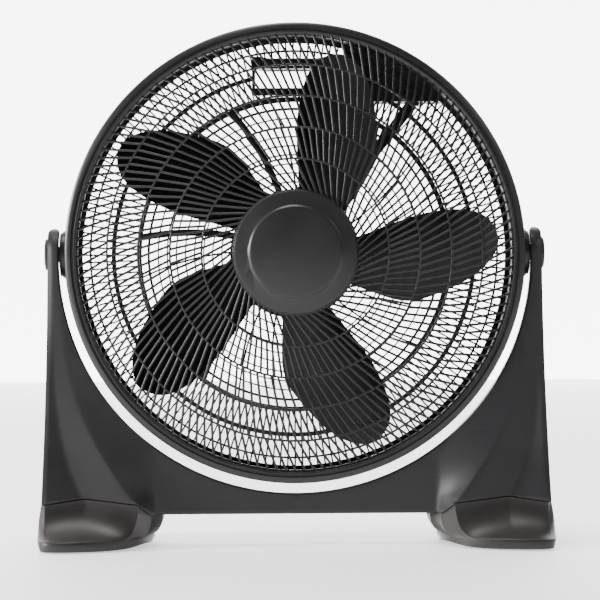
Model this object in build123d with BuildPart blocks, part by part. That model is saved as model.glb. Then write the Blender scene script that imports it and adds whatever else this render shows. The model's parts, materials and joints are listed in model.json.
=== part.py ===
from build123d import *
import os
from math import asin, atan, cos, degrees, radians, sin, sqrt, tan

# Floor fan: a round tilting head carried between the arms of a U-shaped yoke on two feet.
# Frame: +Z up, the air leaves towards -Y, +X is to the right of a person facing the fan.
# The origin is on the floor, under the middle of the head. Lengths are in millimetres.

# ---- Driving dimensions -------------------------------------------------------------
OPENING_R = 248.0  # clear radius of the air opening
BEZEL_WIDTH = 13.0  # bezel, from the opening to its outer edge
ARM_GAP = 7.2  # between the bezel and each arm
ARM_THICKNESS = 13.2
BOTTOM_GAP = 11.0  # between the bezel and the yoke's trough
CROSS_BOTTOM_Z = 36.5  # underside of the crosspiece
CROSS_THICKNESS = 23.5  # crosspiece at its thinnest, in the middle
CROSS_HALF_DEPTH = 38.0
FOOT_HALF_DEPTH = 105.0
FOOT_LENGTH = 141.0  # each foot, along X
FOOT_OVERHANG = 5.0  # foot beyond the leg's outer face
LEG_BASE_Z = 50.0  # seam between a leg and its foot
LEG_FLARE = 4.5  # leg's outer face at the seam, beyond the arm's
SEAM_PEAK = 6.5  # the seam rises this much under the valley of the leg
SEAM_PEAK_INSET = 43.0
LEG_WIDTH = 105.5  # leg at the seam, from the arm's outer face to the front ridge
LEG_HALF_DEPTH = 68.0
ARM_TOP_R = 29.5
YOKE_WALL = 3.0
FOOT_WALL = 3.0
FOOT_LIP = 10.0
PAD_R = 9.5
PAD_PROUD = 1.5

DRUM_WALL = 3.0
DRUM_STEP = 6.0  # the drum's outside is this much inside the bezel's
HEAD_FRONT_Y = -46.0
DRUM_BACK_Y = 42.0
GUARD_THICKNESS = 3.2
GUARD_RING_WIDTH = 2.4
GUARD_RIB_WIDTH = 2.0
HUB_R = 70.0
DOME_RISE = 20.5
REAR_PLATE_R = 74.0
REAR_THICKNESS = 3.0
THICK_RING_R = 180.0
THICK_RING_WIDTH = 8.0

BLADE_COUNT = 5
BLADE_R = 234.0
BLADE_THICKNESS = 2.4
ROTOR_HUB_R = 52.0
ROTOR_HUB_WALL = 2.5
SHAFT_R = 4.0
RUNNING_CLEARANCE = 0.05
SEAT_CLEARANCE = 0.1

MOTOR_R = 46.0
MOTOR_WALL = 2.9
MOTOR_FRONT_Y = 2.0
MOTOR_BOLT_R = 49.0
BEARING_R = 11.0
BEARING_WIDTH = 7.0
AIR_GAP = 0.4
STACK_LENGTH = 24.0

PIVOT_BOSS_R = 27.0
PIVOT_BOLT_R = 4.0
SCREW_R = 1.5
SCREW_HEAD_R = 3.2
SCREW_HEAD_HEIGHT = 2.4

# ---- Derived places -----------------------------------------------------------------
RING_R = OPENING_R + BEZEL_WIDTH
YOKE_ARC_R = RING_R + ARM_GAP
ARM_INNER_X = YOKE_ARC_R
ARM_OUTER_X = ARM_INNER_X + ARM_THICKNESS
TROUGH_Z = CROSS_BOTTOM_Z + CROSS_THICKNESS
YOKE_ARC_Z = TROUGH_Z + YOKE_ARC_R
HEAD_Z = TROUGH_Z + BOTTOM_GAP + RING_R
FOOT_OUTER_X = ARM_OUTER_X + LEG_FLARE + FOOT_OVERHANG
FOOT_INNER_X = FOOT_OUTER_X - FOOT_LENGTH
SEAT_RISE = LEG_BASE_Z - CROSS_BOTTOM_Z
SEAT_X = FOOT_INNER_X + 14.0  # where the foot's seat starts to rise under the leg
SEAM_PEAK_X = ARM_OUTER_X - SEAM_PEAK_INSET
DRUM_OUTER_R = RING_R - DRUM_STEP
DRUM_INNER_R = DRUM_OUTER_R - DRUM_WALL
LIP_BACK_Y = HEAD_FRONT_Y + 3.5
GUARD_RIM_BACK_Y = LIP_BACK_Y + 6.0
GUARD_HUB_Y = LIP_BACK_Y - DOME_RISE
REAR_BACK_Y = DRUM_BACK_Y + REAR_THICKNESS
STACK_R = MOTOR_R - MOTOR_WALL - SEAT_CLEARANCE
ROTOR_CORE_R = 24.6
STATOR_BORE_R = ROTOR_CORE_R + AIR_GAP
STACK_BACK_Y = MOTOR_FRONT_Y + 8.0 + STACK_LENGTH
MOTOR_SPLIT_Y = (MOTOR_FRONT_Y + DRUM_BACK_Y) / 2
FRONT_BEARING_Y = MOTOR_FRONT_Y - 6.0
REAR_BEARING_Y = DRUM_BACK_Y - 4.0

FAN_AXIS = Axis((0, 0, HEAD_Z), (0, 1, 0))
REARWARD = (0, 1, 0)
FORWARD = (0, -1, 0)
PROFILE_PLANE = Plane(origin=(0, 0, HEAD_Z))
FRONT_VIEW = Plane(origin=(0, 0, 0), x_dir=(1, 0, 0), z_dir=(0, -1, 0))
SIDE_VIEW = Plane(origin=(0, 0, 0), x_dir=(0, 1, 0), z_dir=(1, 0, 0))
PIVOT_PLANE = Plane(origin=(0, 0, HEAD_Z), x_dir=(0, 1, 0), z_dir=(1, 0, 0))


os.makedirs("parts", exist_ok=True)


# ---- Shared helpers -----------------------------------------------------------------
def save(piece, label):
    """Name a finished piece and write it to its own STEP file."""
    piece.part.label = label
    export_step(piece.part, f"parts/{label}.step")


def head_plane(y):
    """Plane across the fan's axis: local X and Y are world X and Z, its normal faces forward."""
    return Plane(origin=(0, y, HEAD_Z), x_dir=(1, 0, 0), z_dir=(0, -1, 0))


def polar(radius, angle):
    """Point at a clockwise angle from the top, as a person facing the fan sees it."""
    return (radius * sin(radians(angle)), radius * cos(radians(angle)))


def outline(plane, points):
    """Closed straight-sided face on a plane."""
    with BuildSketch(plane) as shape:
        with BuildLine():
            Polyline(*points, close=True)
        make_face()
    return shape.sketch


def turned(points, label):
    """Save one piece turned about the fan's axis from a profile of (radius, y) points."""
    with BuildPart() as piece:
        revolve(outline(PROFILE_PLANE, points), axis=FAN_AXIS)
    save(piece, label)


def mirrored(piece, label):
    """Save the left-hand twin of a right-hand piece."""
    with BuildPart() as twin:
        add(mirror(piece.part, about=Plane.YZ))
    save(twin, label)


def disc(plane, radius, height, direction):
    """Add a plain round boss to the part being built."""
    with BuildSketch(plane) as face:
        Circle(radius)
    extrude(face.sketch, amount=height, dir=direction)


# ---- Yoke ---------------------------------------------------------------------------
# The yoke is two mirror-image shells that meet on the plane Y = 0. Its outside is lofted through
# level sections. From the middle outwards a section has the flat crosspiece, the side panel, the
# ridge of the leg, the valley beside it and the outer edge.
SPANDREL_X = FOOT_INNER_X + 10.0  # where the flat crosspiece ends and the side panel begins
VALLEY_DEPTH = 12.0
EDGE_INSET = 4.0
YOKE_STATIONS = 7
SCREW_HEAD_SEAT_Y = 20.0
YOKE_BOSS_R = 6.0
YOKE_SCREW_PLACES = (
    (70.0, TROUGH_Z - 10.0),
    (ARM_OUTER_X - 81.0, LEG_BASE_Z + 32.0),
    (ARM_OUTER_X - 30.0, HEAD_Z - 162.0),
    (ARM_INNER_X + ARM_THICKNESS / 2, HEAD_Z - 44.0),
)


def leg_height(z):
    """How far a level is up the leg: 0 at the seam with the foot, 1 at the pivot."""
    return min(max((z - LEG_BASE_Z) / (HEAD_Z - LEG_BASE_Z), 0.0), 1.0)


def ridge_at(z):
    """X of the leg's ridge and its distance forward of the split plane."""
    left = 1.0 - leg_height(z)
    inset = ARM_THICKNESS + (LEG_WIDTH - ARM_THICKNESS) * left**2.8
    depth = ARM_TOP_R + (LEG_HALF_DEPTH - ARM_TOP_R) * left**1.6
    return ARM_OUTER_X - inset, depth


def half_section(z, wall):
    """Right-hand half of a level section of the front shell, pulled in by a wall."""
    ridge_x, ridge_depth = ridge_at(z)
    left = 1.0 - leg_height(z)
    outer_x = ARM_OUTER_X + LEG_FLARE * left**2
    edge_x = outer_x - EDGE_INSET - wall / 2
    valley_x = ridge_x + (edge_x - ridge_x) * (0.93 - 0.35 * left**2)
    flat_x = min(SPANDREL_X, ridge_x - wall)
    depth = ridge_depth - wall
    return [
        (flat_x, -(min(CROSS_HALF_DEPTH, ridge_depth - 0.5) - wall)),
        (ridge_x, -depth),
        (valley_x, -(depth - 0.3 - VALLEY_DEPTH * left**2)),
        (edge_x, -(depth - 0.9 - 1.5 * left)),
        (outer_x - wall, -(depth - EDGE_INSET)),
        (outer_x - wall, 0.0),
    ]


def yoke_block(wall):
    """Front half of the yoke's outside, or of its hollow when a wall is given."""
    low, high = CROSS_BOTTOM_Z, HEAD_Z + ARM_TOP_R + 5.0
    with BuildPart() as block:
        for index in range(YOKE_STATIONS):
            z = low + (high - low) * index / (YOKE_STATIONS - 1)
            right = half_section(z, wall)
            left = [(-x, y) for x, y in reversed(right)]
            with BuildSketch(Plane.XY.offset(z)):
                with BuildLine():
                    Polyline(*right, *left, close=True)
                make_face()
        loft()
        # Head space: a round trough with upright sides above its centre.
        arc_r = YOKE_ARC_R + wall
        with BuildSketch(FRONT_VIEW) as trough:
            with Locations((0, YOKE_ARC_Z)):
                Circle(arc_r)
                Rectangle(2 * arc_r, high, align=(Align.CENTER, Align.MIN))
        extrude(trough.sketch, amount=FOOT_HALF_DEPTH, both=True, mode=Mode.SUBTRACT)
        # Rounded arm tops.
        with BuildSketch(SIDE_VIEW) as tops:
            with Locations((0, HEAD_Z)):
                Circle(ARM_TOP_R - wall)
            with Locations((0, HEAD_Z)):
                Rectangle(2 * FOOT_HALF_DEPTH, HEAD_Z, align=(Align.CENTER, Align.MAX))
        extrude(tops.sketch, amount=FOOT_OUTER_X, both=True, mode=Mode.INTERSECT)
        # The underside steps up over the feet.
        with BuildSketch(FRONT_VIEW) as seats:
            for side in (1, -1):
                with BuildLine():
                    Polyline(*seat_points(side, wall), close=True)
                make_face()
            if wall:
                Rectangle(2 * SEAT_X, CROSS_BOTTOM_Z + wall, align=(Align.CENTER, Align.MIN))
        extrude(seats.sketch, amount=FOOT_HALF_DEPTH, both=True, mode=Mode.SUBTRACT)
    return block


def seat_points(side, wall):
    """Outline, in front view, of what the foot takes from the yoke's underside."""
    return [
        (side * (SEAT_X - wall / 2), 0.0),
        (side * (SEAT_X - wall / 2), CROSS_BOTTOM_Z + wall),
        (side * (SEAT_X + SEAT_RISE - wall / 2), LEG_BASE_Z + wall),
        (side * SEAM_PEAK_X, LEG_BASE_Z + SEAM_PEAK + wall),
        (side * (ARM_OUTER_X + LEG_FLARE), LEG_BASE_Z + wall),
        (side * (FOOT_OUTER_X + 10.0), LEG_BASE_Z + wall),
        (side * (FOOT_OUTER_X + 10.0), 0.0),
    ]


FOOT_BOSS_R = 6.0
FOOT_SCREW_TOP_Z = LEG_BASE_Z + 16.0
FOOT_SCREW_X = (ARM_OUTER_X - 76.0, ARM_OUTER_X - 26.0)
FOOT_SCREW_Y = 26.0
FOOT_SCREW_SEAT_Z = 20.0
PIVOT_BUSH_R = 9.0
PIVOT_CAP_R = 18.0
PIVOT_CAP_DEPTH = 2.0
PIVOT_CAP_PROUD = 4.5
PIVOT_RECESS_DEPTH = 7.0


def yoke_shell(is_front):
    """One half of the yoke with its bosses, pivot seats and screw holes."""
    outside = yoke_block(0.0)
    hollow = yoke_block(YOKE_WALL)
    places = [(side * x, z) for x, z in YOKE_SCREW_PLACES for side in (1, -1)]
    with BuildPart() as bosses:
        with BuildSketch(FRONT_VIEW) as screw_bosses:
            with Locations(*places):
                Circle(YOKE_BOSS_R)
        extrude(screw_bosses.sketch, amount=FOOT_HALF_DEPTH)
        with BuildSketch(Plane.XY.offset(LEG_BASE_Z)) as foot_bosses:
            for side in (1, -1):
                with Locations(*[(side * x, -FOOT_SCREW_Y) for x in FOOT_SCREW_X]):
                    Circle(FOOT_BOSS_R)
        extrude(foot_bosses.sketch, amount=FOOT_SCREW_TOP_Z - LEG_BASE_Z + 4.0)
        with BuildSketch(PIVOT_PLANE) as pivot_boss:
            Circle(PIVOT_CAP_R + 2.0)
        extrude(pivot_boss.sketch, amount=FOOT_OUTER_X, both=True)
    with BuildPart() as shell:
        add(outside.part)
        add(hollow.part - bosses.part, mode=Mode.SUBTRACT)
        # Blind holes for the foot screws.
        with BuildSketch(Plane.XY.offset(LEG_BASE_Z)) as pilots:
            for side in (1, -1):
                with Locations(*[(side * x, -FOOT_SCREW_Y) for x in FOOT_SCREW_X]):
                    Circle(SCREW_R + SEAT_CLEARANCE)
        extrude(pilots.sketch, amount=FOOT_SCREW_TOP_Z - LEG_BASE_Z + 1.0, mode=Mode.SUBTRACT)
        # Bush seat through each arm, with a recess outside it for the bolt head and the cap.
        with BuildSketch(PIVOT_PLANE) as bush_seat:
            Circle(PIVOT_BUSH_R + SEAT_CLEARANCE)
        extrude(bush_seat.sketch, amount=FOOT_OUTER_X, both=True, mode=Mode.SUBTRACT)
        # Flat seats for the friction washers on the arms' inner faces.
        with BuildSketch(PIVOT_PLANE) as washer_seat:
            Circle(PIVOT_BOSS_R)
        extrude(washer_seat.sketch, amount=ARM_INNER_X, both=True, mode=Mode.SUBTRACT)
        for side in (1, -1):
            recess_x = ARM_OUTER_X - PIVOT_RECESS_DEPTH
            with BuildSketch(PIVOT_PLANE.offset(side * recess_x)) as recess:
                Circle(PIVOT_CAP_R - 2.0)
            extrude(recess.sketch, amount=20.0, dir=(side, 0, 0), mode=Mode.SUBTRACT)
            with BuildSketch(PIVOT_PLANE.offset(side * (ARM_OUTER_X - PIVOT_CAP_DEPTH))) as rim:
                Circle(PIVOT_CAP_R + SEAT_CLEARANCE)
            extrude(rim.sketch, amount=20.0, dir=(side, 0, 0), mode=Mode.SUBTRACT)
        # The screws come in from the rear: blind pilots in front, counterbores behind.
        with BuildSketch(FRONT_VIEW) as shanks:
            with Locations(*places):
                Circle(SCREW_R + SEAT_CLEARANCE)
        extrude(shanks.sketch, amount=SCREW_HEAD_SEAT_Y, mode=Mode.SUBTRACT)
        if not is_front:
            with BuildSketch(FRONT_VIEW.offset(SCREW_HEAD_SEAT_Y)) as counterbores:
                with Locations(*places):
                    Circle(SCREW_HEAD_R + 0.4)
            extrude(counterbores.sketch, amount=FOOT_HALF_DEPTH, mode=Mode.SUBTRACT)
    return shell


front_shell = yoke_shell(is_front=True)
save(front_shell, "yoke_front_shell")
rear_half = yoke_shell(is_front=False)
with BuildPart() as rear_shell:
    add(mirror(rear_half.part, about=Plane.XZ))
save(rear_shell, "yoke_rear_shell")

with BuildPart() as yoke_screws:
    for x, z in YOKE_SCREW_PLACES:
        for side in (1, -1):
            with BuildSketch(FRONT_VIEW.offset(-SCREW_HEAD_SEAT_Y)) as shank:
                with Locations((side * x, z)):
                    Circle(SCREW_R)
            extrude(shank.sketch, amount=2 * SCREW_HEAD_SEAT_Y - 2.0)
            with BuildSketch(FRONT_VIEW.offset(-SCREW_HEAD_SEAT_Y)) as head:
                with Locations((side * x, z)):
                    Circle(SCREW_HEAD_R)
            extrude(head.sketch, amount=-SCREW_HEAD_HEIGHT)
save(yoke_screws, "yoke_screws")


# ---- Feet ---------------------------------------------------------------------------
# A foot is the common part of three outlines: from above, from the front and from the side.
PAD_POCKET = 2.0
TIP_LIFT = 6.0  # the sole's inner tip is this much off the floor
PAD_PLACES = ((-32.0, -78.0), (-32.0, 78.0), (-88.0, -40.0), (-88.0, 40.0))


def foot_block(wall):
    """Outside of the right-hand foot, or its hollow when a wall is given."""
    outer_x = FOOT_OUTER_X - wall
    inner_x = FOOT_INNER_X + wall
    depth = FOOT_HALF_DEPTH - wall
    base_z = PAD_PROUD
    corner = 18.0
    nose = 30.0
    with BuildPart() as block:
        with BuildSketch(Plane.XY) as plan:
            with BuildLine():
                front = Spline(
                    (outer_x - 25.0, -depth),
                    (outer_x - 66.0, -depth + 3.0),
                    (inner_x + 44.0, -depth * 0.7),
                    (inner_x + 10.0, -nose),
                )
                Line(front @ 1, (inner_x - 1.0, -nose + 4.0))
                Line((inner_x - 1.0, -nose + 4.0), (inner_x - 1.0, nose - 4.0))
                Line((inner_x - 1.0, nose - 4.0), (inner_x + 10.0, nose))
                back = Spline(
                    (inner_x + 10.0, nose),
                    (inner_x + 44.0, depth * 0.7),
                    (outer_x - 66.0, depth - 3.0),
                    (outer_x - 25.0, depth),
                )
                rear_corner = ThreePointArc(
                    back @ 1,
                    (outer_x - 25.0 + corner * 0.8, depth - corner * 0.4),
                    (outer_x, depth - 28.0),
                )
                Line(rear_corner @ 1, (outer_x, -depth + 28.0))
                ThreePointArc(
                    (outer_x, -depth + 28.0),
                    (outer_x - 25.0 + corner * 0.8, -depth + corner * 0.4),
                    front @ 0,
                )
            make_face()
        extrude(plan.sketch, amount=LEG_BASE_Z + SEAM_PEAK - wall)
        with BuildSketch(FRONT_VIEW) as front_face:
            with BuildLine():
                Polyline(
                    (inner_x + 38.0, base_z),
                    (inner_x + 11.0, base_z + TIP_LIFT),
                    (inner_x, CROSS_BOTTOM_Z - wall),
                    (SEAT_X, CROSS_BOTTOM_Z - wall),
                    (SEAT_X + SEAT_RISE, LEG_BASE_Z - wall),
                    (SEAM_PEAK_X, LEG_BASE_Z + SEAM_PEAK - wall),
                    (ARM_OUTER_X + LEG_FLARE - wall, LEG_BASE_Z - wall),
                    (outer_x, LEG_BASE_Z / 2),
                    (outer_x, base_z + 11.0),
                    (outer_x - 5.0, base_z),
                    close=True,
                )
            make_face()
        extrude(front_face.sketch, amount=FOOT_HALF_DEPTH + 5.0, both=True, mode=Mode.INTERSECT)
        with BuildSketch(SIDE_VIEW) as side_face:
            with BuildLine():
                for side in (1, -1):
                    ThreePointArc(
                        (side * (LEG_HALF_DEPTH + 1.0 - wall), LEG_BASE_Z - wall),
                        (side * (LEG_HALF_DEPTH + 13.0 - wall), LEG_BASE_Z / 2 - wall),
                        (side * depth, base_z + FOOT_LIP - wall),
                    )
                    Line((side * depth, base_z + FOOT_LIP - wall), (side * depth, base_z))
                    Line(
                        (side * (LEG_HALF_DEPTH + 1.0 - wall), LEG_BASE_Z - wall),
                        (side * (LEG_HALF_DEPTH - 6.0 - wall), LEG_BASE_Z + SEAM_PEAK),
                    )
                Line((-depth, base_z), (depth, base_z))
                top_y = LEG_HALF_DEPTH - 6.0 - wall
                Line((-top_y, LEG_BASE_Z + SEAM_PEAK), (top_y, LEG_BASE_Z + SEAM_PEAK))
            make_face()
        extrude(side_face.sketch, amount=FOOT_OUTER_X + 5.0, mode=Mode.INTERSECT)
    return block


foot_outside = foot_block(0.0)
foot_hollow = foot_block(FOOT_WALL)
pad_spots = [(FOOT_OUTER_X + dx, y) for dx, y in PAD_PLACES]
screw_spots = [(x, side * FOOT_SCREW_Y) for x in FOOT_SCREW_X for side in (1, -1)]
with BuildPart() as foot_bosses:
    with BuildSketch(Plane.XY) as columns:
        with Locations(*pad_spots):
            Circle(PAD_R + 2.0)
        with Locations(*screw_spots):
            Circle(FOOT_BOSS_R)
    extrude(columns.sketch, amount=LEG_BASE_Z + SEAM_PEAK)
with BuildPart() as right_foot:
    add(foot_outside.part)
    add(foot_hollow.part - foot_bosses.part, mode=Mode.SUBTRACT)
    with BuildSketch(Plane.XY) as pockets:
        with Locations(*pad_spots):
            Circle(PAD_R + SEAT_CLEARANCE)
    extrude(pockets.sketch, amount=PAD_PROUD + PAD_POCKET, mode=Mode.SUBTRACT)
    with BuildSketch(Plane.XY) as clearance_holes:
        with Locations(*screw_spots):
            Circle(SCREW_R + SEAT_CLEARANCE)
    extrude(clearance_holes.sketch, amount=LEG_BASE_Z + SEAM_PEAK, mode=Mode.SUBTRACT)
    with BuildSketch(Plane.XY) as head_holes:
        with Locations(*screw_spots):
            Circle(SCREW_HEAD_R + 0.4)
    extrude(head_holes.sketch, amount=FOOT_SCREW_SEAT_Z, mode=Mode.SUBTRACT)
save(right_foot, "right_foot")
mirrored(right_foot, "left_foot")

with BuildPart() as rubber_pads:
    with BuildSketch(Plane.XY) as pads:
        for side in (1, -1):
            with Locations(*[(side * x, y) for x, y in pad_spots]):
                Circle(PAD_R)
    extrude(pads.sketch, amount=PAD_PROUD + PAD_POCKET)
save(rubber_pads, "rubber_pads")

with BuildPart() as foot_screws:
    all_spots = [(side * x, y) for x, y in screw_spots for side in (1, -1)]
    with BuildSketch(Plane.XY.offset(FOOT_SCREW_SEAT_Z)) as shanks:
        with Locations(*all_spots):
            Circle(SCREW_R)
    extrude(shanks.sketch, amount=FOOT_SCREW_TOP_Z - FOOT_SCREW_SEAT_Z)
    with BuildSketch(Plane.XY.offset(FOOT_SCREW_SEAT_Z)) as heads:
        with Locations(*all_spots):
            Circle(SCREW_HEAD_R)
    extrude(heads.sketch, amount=-SCREW_HEAD_HEIGHT)
save(foot_screws, "foot_screws")


# ---- Tilt pivots --------------------------------------------------------------------
# A shoulder bolt turns in a bush held between the yoke's shells and is fixed in the drum's boss.
BOSS_FACE_X = ARM_INNER_X - 3.0
BOLT_HEAD_R = 7.0
BOLT_HEAD_HEIGHT = 4.0
BOLT_HEAD_X = ARM_OUTER_X - PIVOT_RECESS_DEPTH
BOLT_TIP_X = DRUM_OUTER_R + 1.0

with BuildPart() as right_pivot_bush:
    with BuildSketch(PIVOT_PLANE.offset(ARM_INNER_X)) as ring:
        Circle(PIVOT_BUSH_R)
        Circle(PIVOT_BOLT_R + RUNNING_CLEARANCE, mode=Mode.SUBTRACT)
    extrude(ring.sketch, amount=BOLT_HEAD_X - ARM_INNER_X - 0.1)
save(right_pivot_bush, "right_pivot_bush")
mirrored(right_pivot_bush, "left_pivot_bush")

with BuildPart() as right_pivot_bolt:
    disc(PIVOT_PLANE.offset(BOLT_TIP_X), PIVOT_BOLT_R, BOLT_HEAD_X - BOLT_TIP_X, (1, 0, 0))
    disc(PIVOT_PLANE.offset(BOLT_HEAD_X), BOLT_HEAD_R, BOLT_HEAD_HEIGHT, (1, 0, 0))
    with BuildSketch(PIVOT_PLANE.offset(BOLT_HEAD_X + BOLT_HEAD_HEIGHT)) as socket:
        RegularPolygon(3.0, 6)
    extrude(socket.sketch, amount=-2.5, mode=Mode.SUBTRACT)
save(right_pivot_bolt, "right_pivot_bolt")
mirrored(right_pivot_bolt, "left_pivot_bolt")

with BuildPart() as right_friction_washer:
    with BuildSketch(PIVOT_PLANE.offset(BOSS_FACE_X)) as ring:
        Circle(PIVOT_BOSS_R - 2.0)
        Circle(PIVOT_BOLT_R + SEAT_CLEARANCE, mode=Mode.SUBTRACT)
    extrude(ring.sketch, amount=ARM_INNER_X - BOSS_FACE_X - 0.2)
save(right_friction_washer, "right_friction_washer")
mirrored(right_friction_washer, "left_friction_washer")

with BuildPart() as right_pivot_cap:
    cap_length = PIVOT_CAP_DEPTH + PIVOT_CAP_PROUD
    disc(PIVOT_PLANE.offset(ARM_OUTER_X - PIVOT_CAP_DEPTH), PIVOT_CAP_R, cap_length, (1, 0, 0))
    fillet(right_pivot_cap.faces().sort_by(Axis.X)[-1].edges(), radius=PIVOT_CAP_PROUD / 2)
save(right_pivot_cap, "right_pivot_cap")
mirrored(right_pivot_cap, "left_pivot_cap")


# ---- Drum and bezel -----------------------------------------------------------------
GUARD_SCREW_COUNT = 6
GUARD_SCREW_PITCH_R = DRUM_OUTER_R + 1.6
GUARD_LUG_R = 4.0
GUARD_SCREW_LENGTH = 18.0
GROOVE_DEPTH = 2.5

with BuildPart() as shroud:
    skirt_y = HEAD_FRONT_Y + 24.0
    revolve(
        outline(
            PROFILE_PLANE,
            [
                (OPENING_R, HEAD_FRONT_Y + 0.4),
                (OPENING_R + 0.8, HEAD_FRONT_Y),
                (OPENING_R + 2.6, HEAD_FRONT_Y),
                (OPENING_R + 3.2, HEAD_FRONT_Y + GROOVE_DEPTH),
                (OPENING_R + 5.0, HEAD_FRONT_Y + GROOVE_DEPTH),
                (OPENING_R + 6.0, HEAD_FRONT_Y + 0.6),
                (RING_R - 3.5, HEAD_FRONT_Y + 1.2),
                (RING_R - 1.0, HEAD_FRONT_Y + 3.2),
                (RING_R, HEAD_FRONT_Y + 6.5),
                (RING_R, skirt_y),
                (RING_R - 2.5, skirt_y),
                (RING_R - 2.5, HEAD_FRONT_Y + 7.0),
                (DRUM_OUTER_R, HEAD_FRONT_Y + 6.0),
                (DRUM_OUTER_R, DRUM_BACK_Y),
                (DRUM_INNER_R, DRUM_BACK_Y),
                (DRUM_INNER_R, LIP_BACK_Y),
                (OPENING_R, LIP_BACK_Y),
            ],
        ),
        axis=FAN_AXIS,
    )
    # Bosses for the tilt bolts, with a flat face for the friction washer.
    for side in (1, -1):
        boss_start = DRUM_OUTER_R - 1.5
        disc(
            PIVOT_PLANE.offset(side * boss_start),
            PIVOT_BOSS_R,
            BOSS_FACE_X - boss_start,
            (side, 0, 0),
        )
        with BuildSketch(PIVOT_PLANE.offset(side * BOSS_FACE_X)) as bolt_hole:
            Circle(PIVOT_BOLT_R + SEAT_CLEARANCE)
        depth = BOSS_FACE_X - BOLT_TIP_X
        extrude(bolt_hole.sketch, amount=depth, dir=(-side, 0, 0), mode=Mode.SUBTRACT)
    # Lugs for the rear guard's screws.
    with BuildSketch(head_plane(DRUM_BACK_Y)) as lugs:
        with PolarLocations(GUARD_SCREW_PITCH_R, GUARD_SCREW_COUNT, start_angle=30):
            Circle(GUARD_LUG_R)
        Circle(DRUM_OUTER_R - 1.0, mode=Mode.SUBTRACT)
    extrude(lugs.sketch, amount=GUARD_SCREW_LENGTH + 6.0)
    with BuildSketch(head_plane(DRUM_BACK_Y)) as pilots:
        with PolarLocations(GUARD_SCREW_PITCH_R, GUARD_SCREW_COUNT, start_angle=30):
            Circle(SCREW_R + SEAT_CLEARANCE)
    extrude(pilots.sketch, amount=GUARD_SCREW_LENGTH + 1.0, mode=Mode.SUBTRACT)
    # Snap teeth inside the drum hold the front guard's rim against the lip.
    with BuildSketch(head_plane(GUARD_RIM_BACK_Y + 0.2)) as teeth:
        with PolarLocations(DRUM_INNER_R, 8, start_angle=15):
            Rectangle(5.0, 16.0)
        Circle(DRUM_INNER_R + 1.0, mode=Mode.INTERSECT)
    extrude(teeth.sketch, amount=3.0, dir=REARWARD)
save(shroud, "shroud")


# ---- Front guard --------------------------------------------------------------------
# A domed lattice: rings at an even pitch, and slanted ribs whose number drops zone by zone.
RING_PITCH = (OPENING_R - HUB_R) / 5
ZONE_RIBS = (66, 110, 110, 146, 146)  # ribs between each ring and the next, from the hub out
ZONE_SWEEPS = (12.4, 5.0, 5.0, 4.0, 4.5)  # degrees that a rib turns within its zone
GUARD_RIM_R = DRUM_INNER_R - SEAT_CLEARANCE - 0.2

# Centre and radius of the ball surface that passes the hub and the opening.
DOME_CENTRE_Y = (OPENING_R**2 - HUB_R**2 + LIP_BACK_Y**2 - GUARD_HUB_Y**2) / (
    2 * (LIP_BACK_Y - GUARD_HUB_Y)
)
DOME_R = sqrt(HUB_R**2 + (GUARD_HUB_Y - DOME_CENTRE_Y) ** 2)


def dome_y(radius):
    """Front face of the guard's dome at a radius."""
    return DOME_CENTRE_Y - sqrt(DOME_R**2 - radius**2)


def rib_half_angle(radius, rib_width, turn_per_mm):
    """Half of a slanted rib's width as an angle about the fan's axis."""
    slant = atan(radians(turn_per_mm) * radius)
    return degrees(asin(rib_width / 2 / (radius * cos(slant))))


def lattice_cells(inner_r, outer_r, count, sweep, widths, start=0.0, ring_width=GUARD_RING_WIDTH):
    """Wires of the openings between two rings; widths are those of the ribs, repeated in turn."""
    near = inner_r + ring_width / 2
    far = outer_r - ring_width / 2
    turn = sweep / (outer_r - inner_r)
    step = 360.0 / count
    cells = []
    for index in range(count):
        before = widths[index % len(widths)]
        after = widths[(index + 1) % len(widths)]
        corners = []
        for radius in (near, far):
            base = start + index * step + turn * (outer_r - radius)
            low = base + rib_half_angle(radius, before, turn)
            high = base + step - rib_half_angle(radius, after, turn)
            corners.append((radius, low, high))
        (r1, low1, high1), (r2, low2, high2) = corners
        with BuildLine() as edge:
            Line(polar(r1, low1), polar(r2, low2))
            if step > 6.0:
                ThreePointArc(polar(r2, low2), polar(r2, (low2 + high2) / 2), polar(r2, high2))
            else:
                Line(polar(r2, low2), polar(r2, high2))
            Line(polar(r2, high2), polar(r1, high1))
            if step > 6.0:
                ThreePointArc(polar(r1, high1), polar(r1, (low1 + high1) / 2), polar(r1, low1))
            else:
                Line(polar(r1, high1), polar(r1, low1))
        cells.append(edge.wire())
    return cells


front_cells = []
for zone, (ribs, sweep) in enumerate(zip(ZONE_RIBS, ZONE_SWEEPS)):
    inner = HUB_R + zone * RING_PITCH
    front_cells += lattice_cells(inner, inner + RING_PITCH, ribs, sweep, (GUARD_RIB_WIDTH,))

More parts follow.
